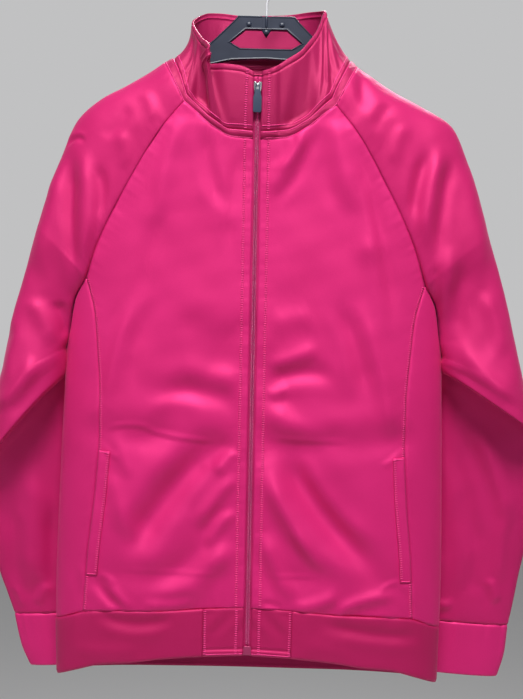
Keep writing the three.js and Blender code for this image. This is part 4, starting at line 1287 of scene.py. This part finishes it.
# Bars on the hanger's front: place, direction, length, width and height
SOCKET_BARS = [
    [(-20.4, -3.3, -72.0), (1.0, 0, 0), 6.4, 6.2, 2.6],
    [(18.2, -3.3, -72.0), (1.0, 0, 0), 6.4, 6.2, 2.6],
    [(0, -3.3, -69.6), (0, 0, 1.0), 16, 3.0, 2.8],
]
POINT_CORNERS, POINT_HALF = [(-5.5, -77.6), (5.5, -77.6), (0, -86.5)], 3.2


def socket():
    """The moulded seat of the hook between the grooves, a dome on each side, and the point below it."""
    parts = [bars(np.array([at]), np.array([along]), FORWARD, *size) for at, along, *size in SOCKET_BARS]
    point = np.array([(x, y, z) for y in (-POINT_HALF, POINT_HALF) for x, z in POINT_CORNERS])
    parts.append((point, [(0, 2, 1), (3, 4, 5), (0, 1, 4, 3), (1, 2, 5, 4), (2, 0, 3, 5)]))
    return mesh_object("hanger_socket", *joined(parts), shift=0)


finish_piece(socket(), PLASTIC_LOOK, "hanger_plastic")

HOOK_WIRE, HOOK_RADIUS = 3.2, 17.0
HOOK_STEM = [(2.5, -38), (0, -46), (0, -61.6)]


def hook():
    radius = HOOK_RADIUS + HOOK_WIRE / 2
    turns = np.radians(np.linspace(200, -62, 60))
    points = [(radius * math.cos(t), radius * math.sin(t) - HOOK_RADIUS) for t in turns] + HOOK_STEM
    line = bpy.data.curves.new("hook", "CURVE")
    line.dimensions = "3D"
    line.bevel_depth = HOOK_WIRE / 2 * MM
    line.bevel_resolution = 6
    line.use_fill_caps = True
    spline = line.splines.new("POLY")
    spline.points.add(len(points) - 1)
    for point, (x, z) in zip(spline.points, points):
        point.co = (x * MM, 0, z * MM, 1)
    holder = new_object("hook_curve", line)
    bpy.context.view_layer.update()
    mesh = evaluated_mesh(holder)
    bpy.data.objects.remove(holder)
    smooth_shaded(mesh)
    return new_object("fine_hanger_hook", mesh)


finish_piece(hook(), WIRE_LOOK, "hook_wire", "hanger_hook")

# Camera: level, in front of the chest, and rolled by the photo's tilt.
CAMERA_PLACE = (3.5, -1345.0, -451.0)
CAMERA_ROLL = math.radians(1.4)
FOCAL_PIXELS, FRAME_HEIGHT, SENSOR = 1150.0, 699.0, 36.0
camera_data = bpy.data.cameras.new("camera")
camera_data.lens = FOCAL_PIXELS / FRAME_HEIGHT * SENSOR
camera_data.sensor_width = SENSOR
camera_data.sensor_fit = "AUTO"
camera = new_object("camera", camera_data)
camera.matrix_world = (
    Matrix.Translation(Vector(CAMERA_PLACE) * MM)
    @ Matrix.Rotation(math.radians(90), 4, "X")
    @ Matrix.Rotation(CAMERA_ROLL, 4, "Z")
)
bpy.context.scene.camera = camera
bpy.context.scene.view_settings.view_transform = "Standard"

# Lights: name, place, target height, width and height, power, spread in degrees
LIGHTS = [
    ["key", (-0.05, -1.95, 2.35), -0.4, (1.3, 0.7), 26, 70],
    ["front", (0.15, -2.2, 0.1), -0.35, (0.7, 0.7), 2, 180],
    ["fill", (-1.6, -1.3, -0.1), -0.45, (0.9, 1.2), 5, 180],
    ["side", (1.7, -1.2, 0.2), -0.45, (0.8, 1.0), 4, 180],
    ["back_key", (0.5, 2.2, 1.9), -0.4, (1.2, 0.8), 14, 70],
]
for name, place, height, size, power, spread in LIGHTS:
    data = bpy.data.lights.new(name, "AREA")
    data.shape = "RECTANGLE"
    data.size, data.size_y = size
    data.energy = power
    data.spread = math.radians(spread)
    light = new_object(name, data)
    light.location = place
    light.rotation_euler = (Vector(place) - Vector((0, 0, height))).to_track_quat("Z", "Y").to_euler()

# The world is paler behind the garment than in front of it.
world = bpy.data.worlds.new("studio")
bpy.context.scene.world = world
world.use_nodes = True
tree = world.node_tree
way = add(tree, "TexCoord", "Generated")
behind = add(tree, "SeparateXYZ", "Y", {"Vector": way})
level = {"From Min": -0.2, "From Max": 0.8, "To Min": 0.14, "To Max": 0.58, "Value": behind}
level = add(tree, "MapRange", "Result", level)
feed(tree, tree.nodes["Background"], {"Color": (0.92, 0.92, 0.93, 1), "Strength": level})

FLOOR_Z, FLOOR_REACH = -1.9, 9.0
corners = [(x * FLOOR_REACH, y * FLOOR_REACH, FLOOR_Z) for x, y in ((-1, -1), (1, -1), (1, 1), (-1, 1))]
floor_mesh = bpy.data.meshes.new("floor")
floor_mesh.from_pydata(corners, [], [(0, 1, 2, 3)])
floor_look, floor_tree, floor_shader = node_material("pale_floor")
feed(floor_tree, floor_shader, {"Base Color": (0.78, 0.78, 0.78, 1), "Roughness": 0.8})
floor_mesh.materials.append(floor_look)
new_object("floor", floor_mesh)
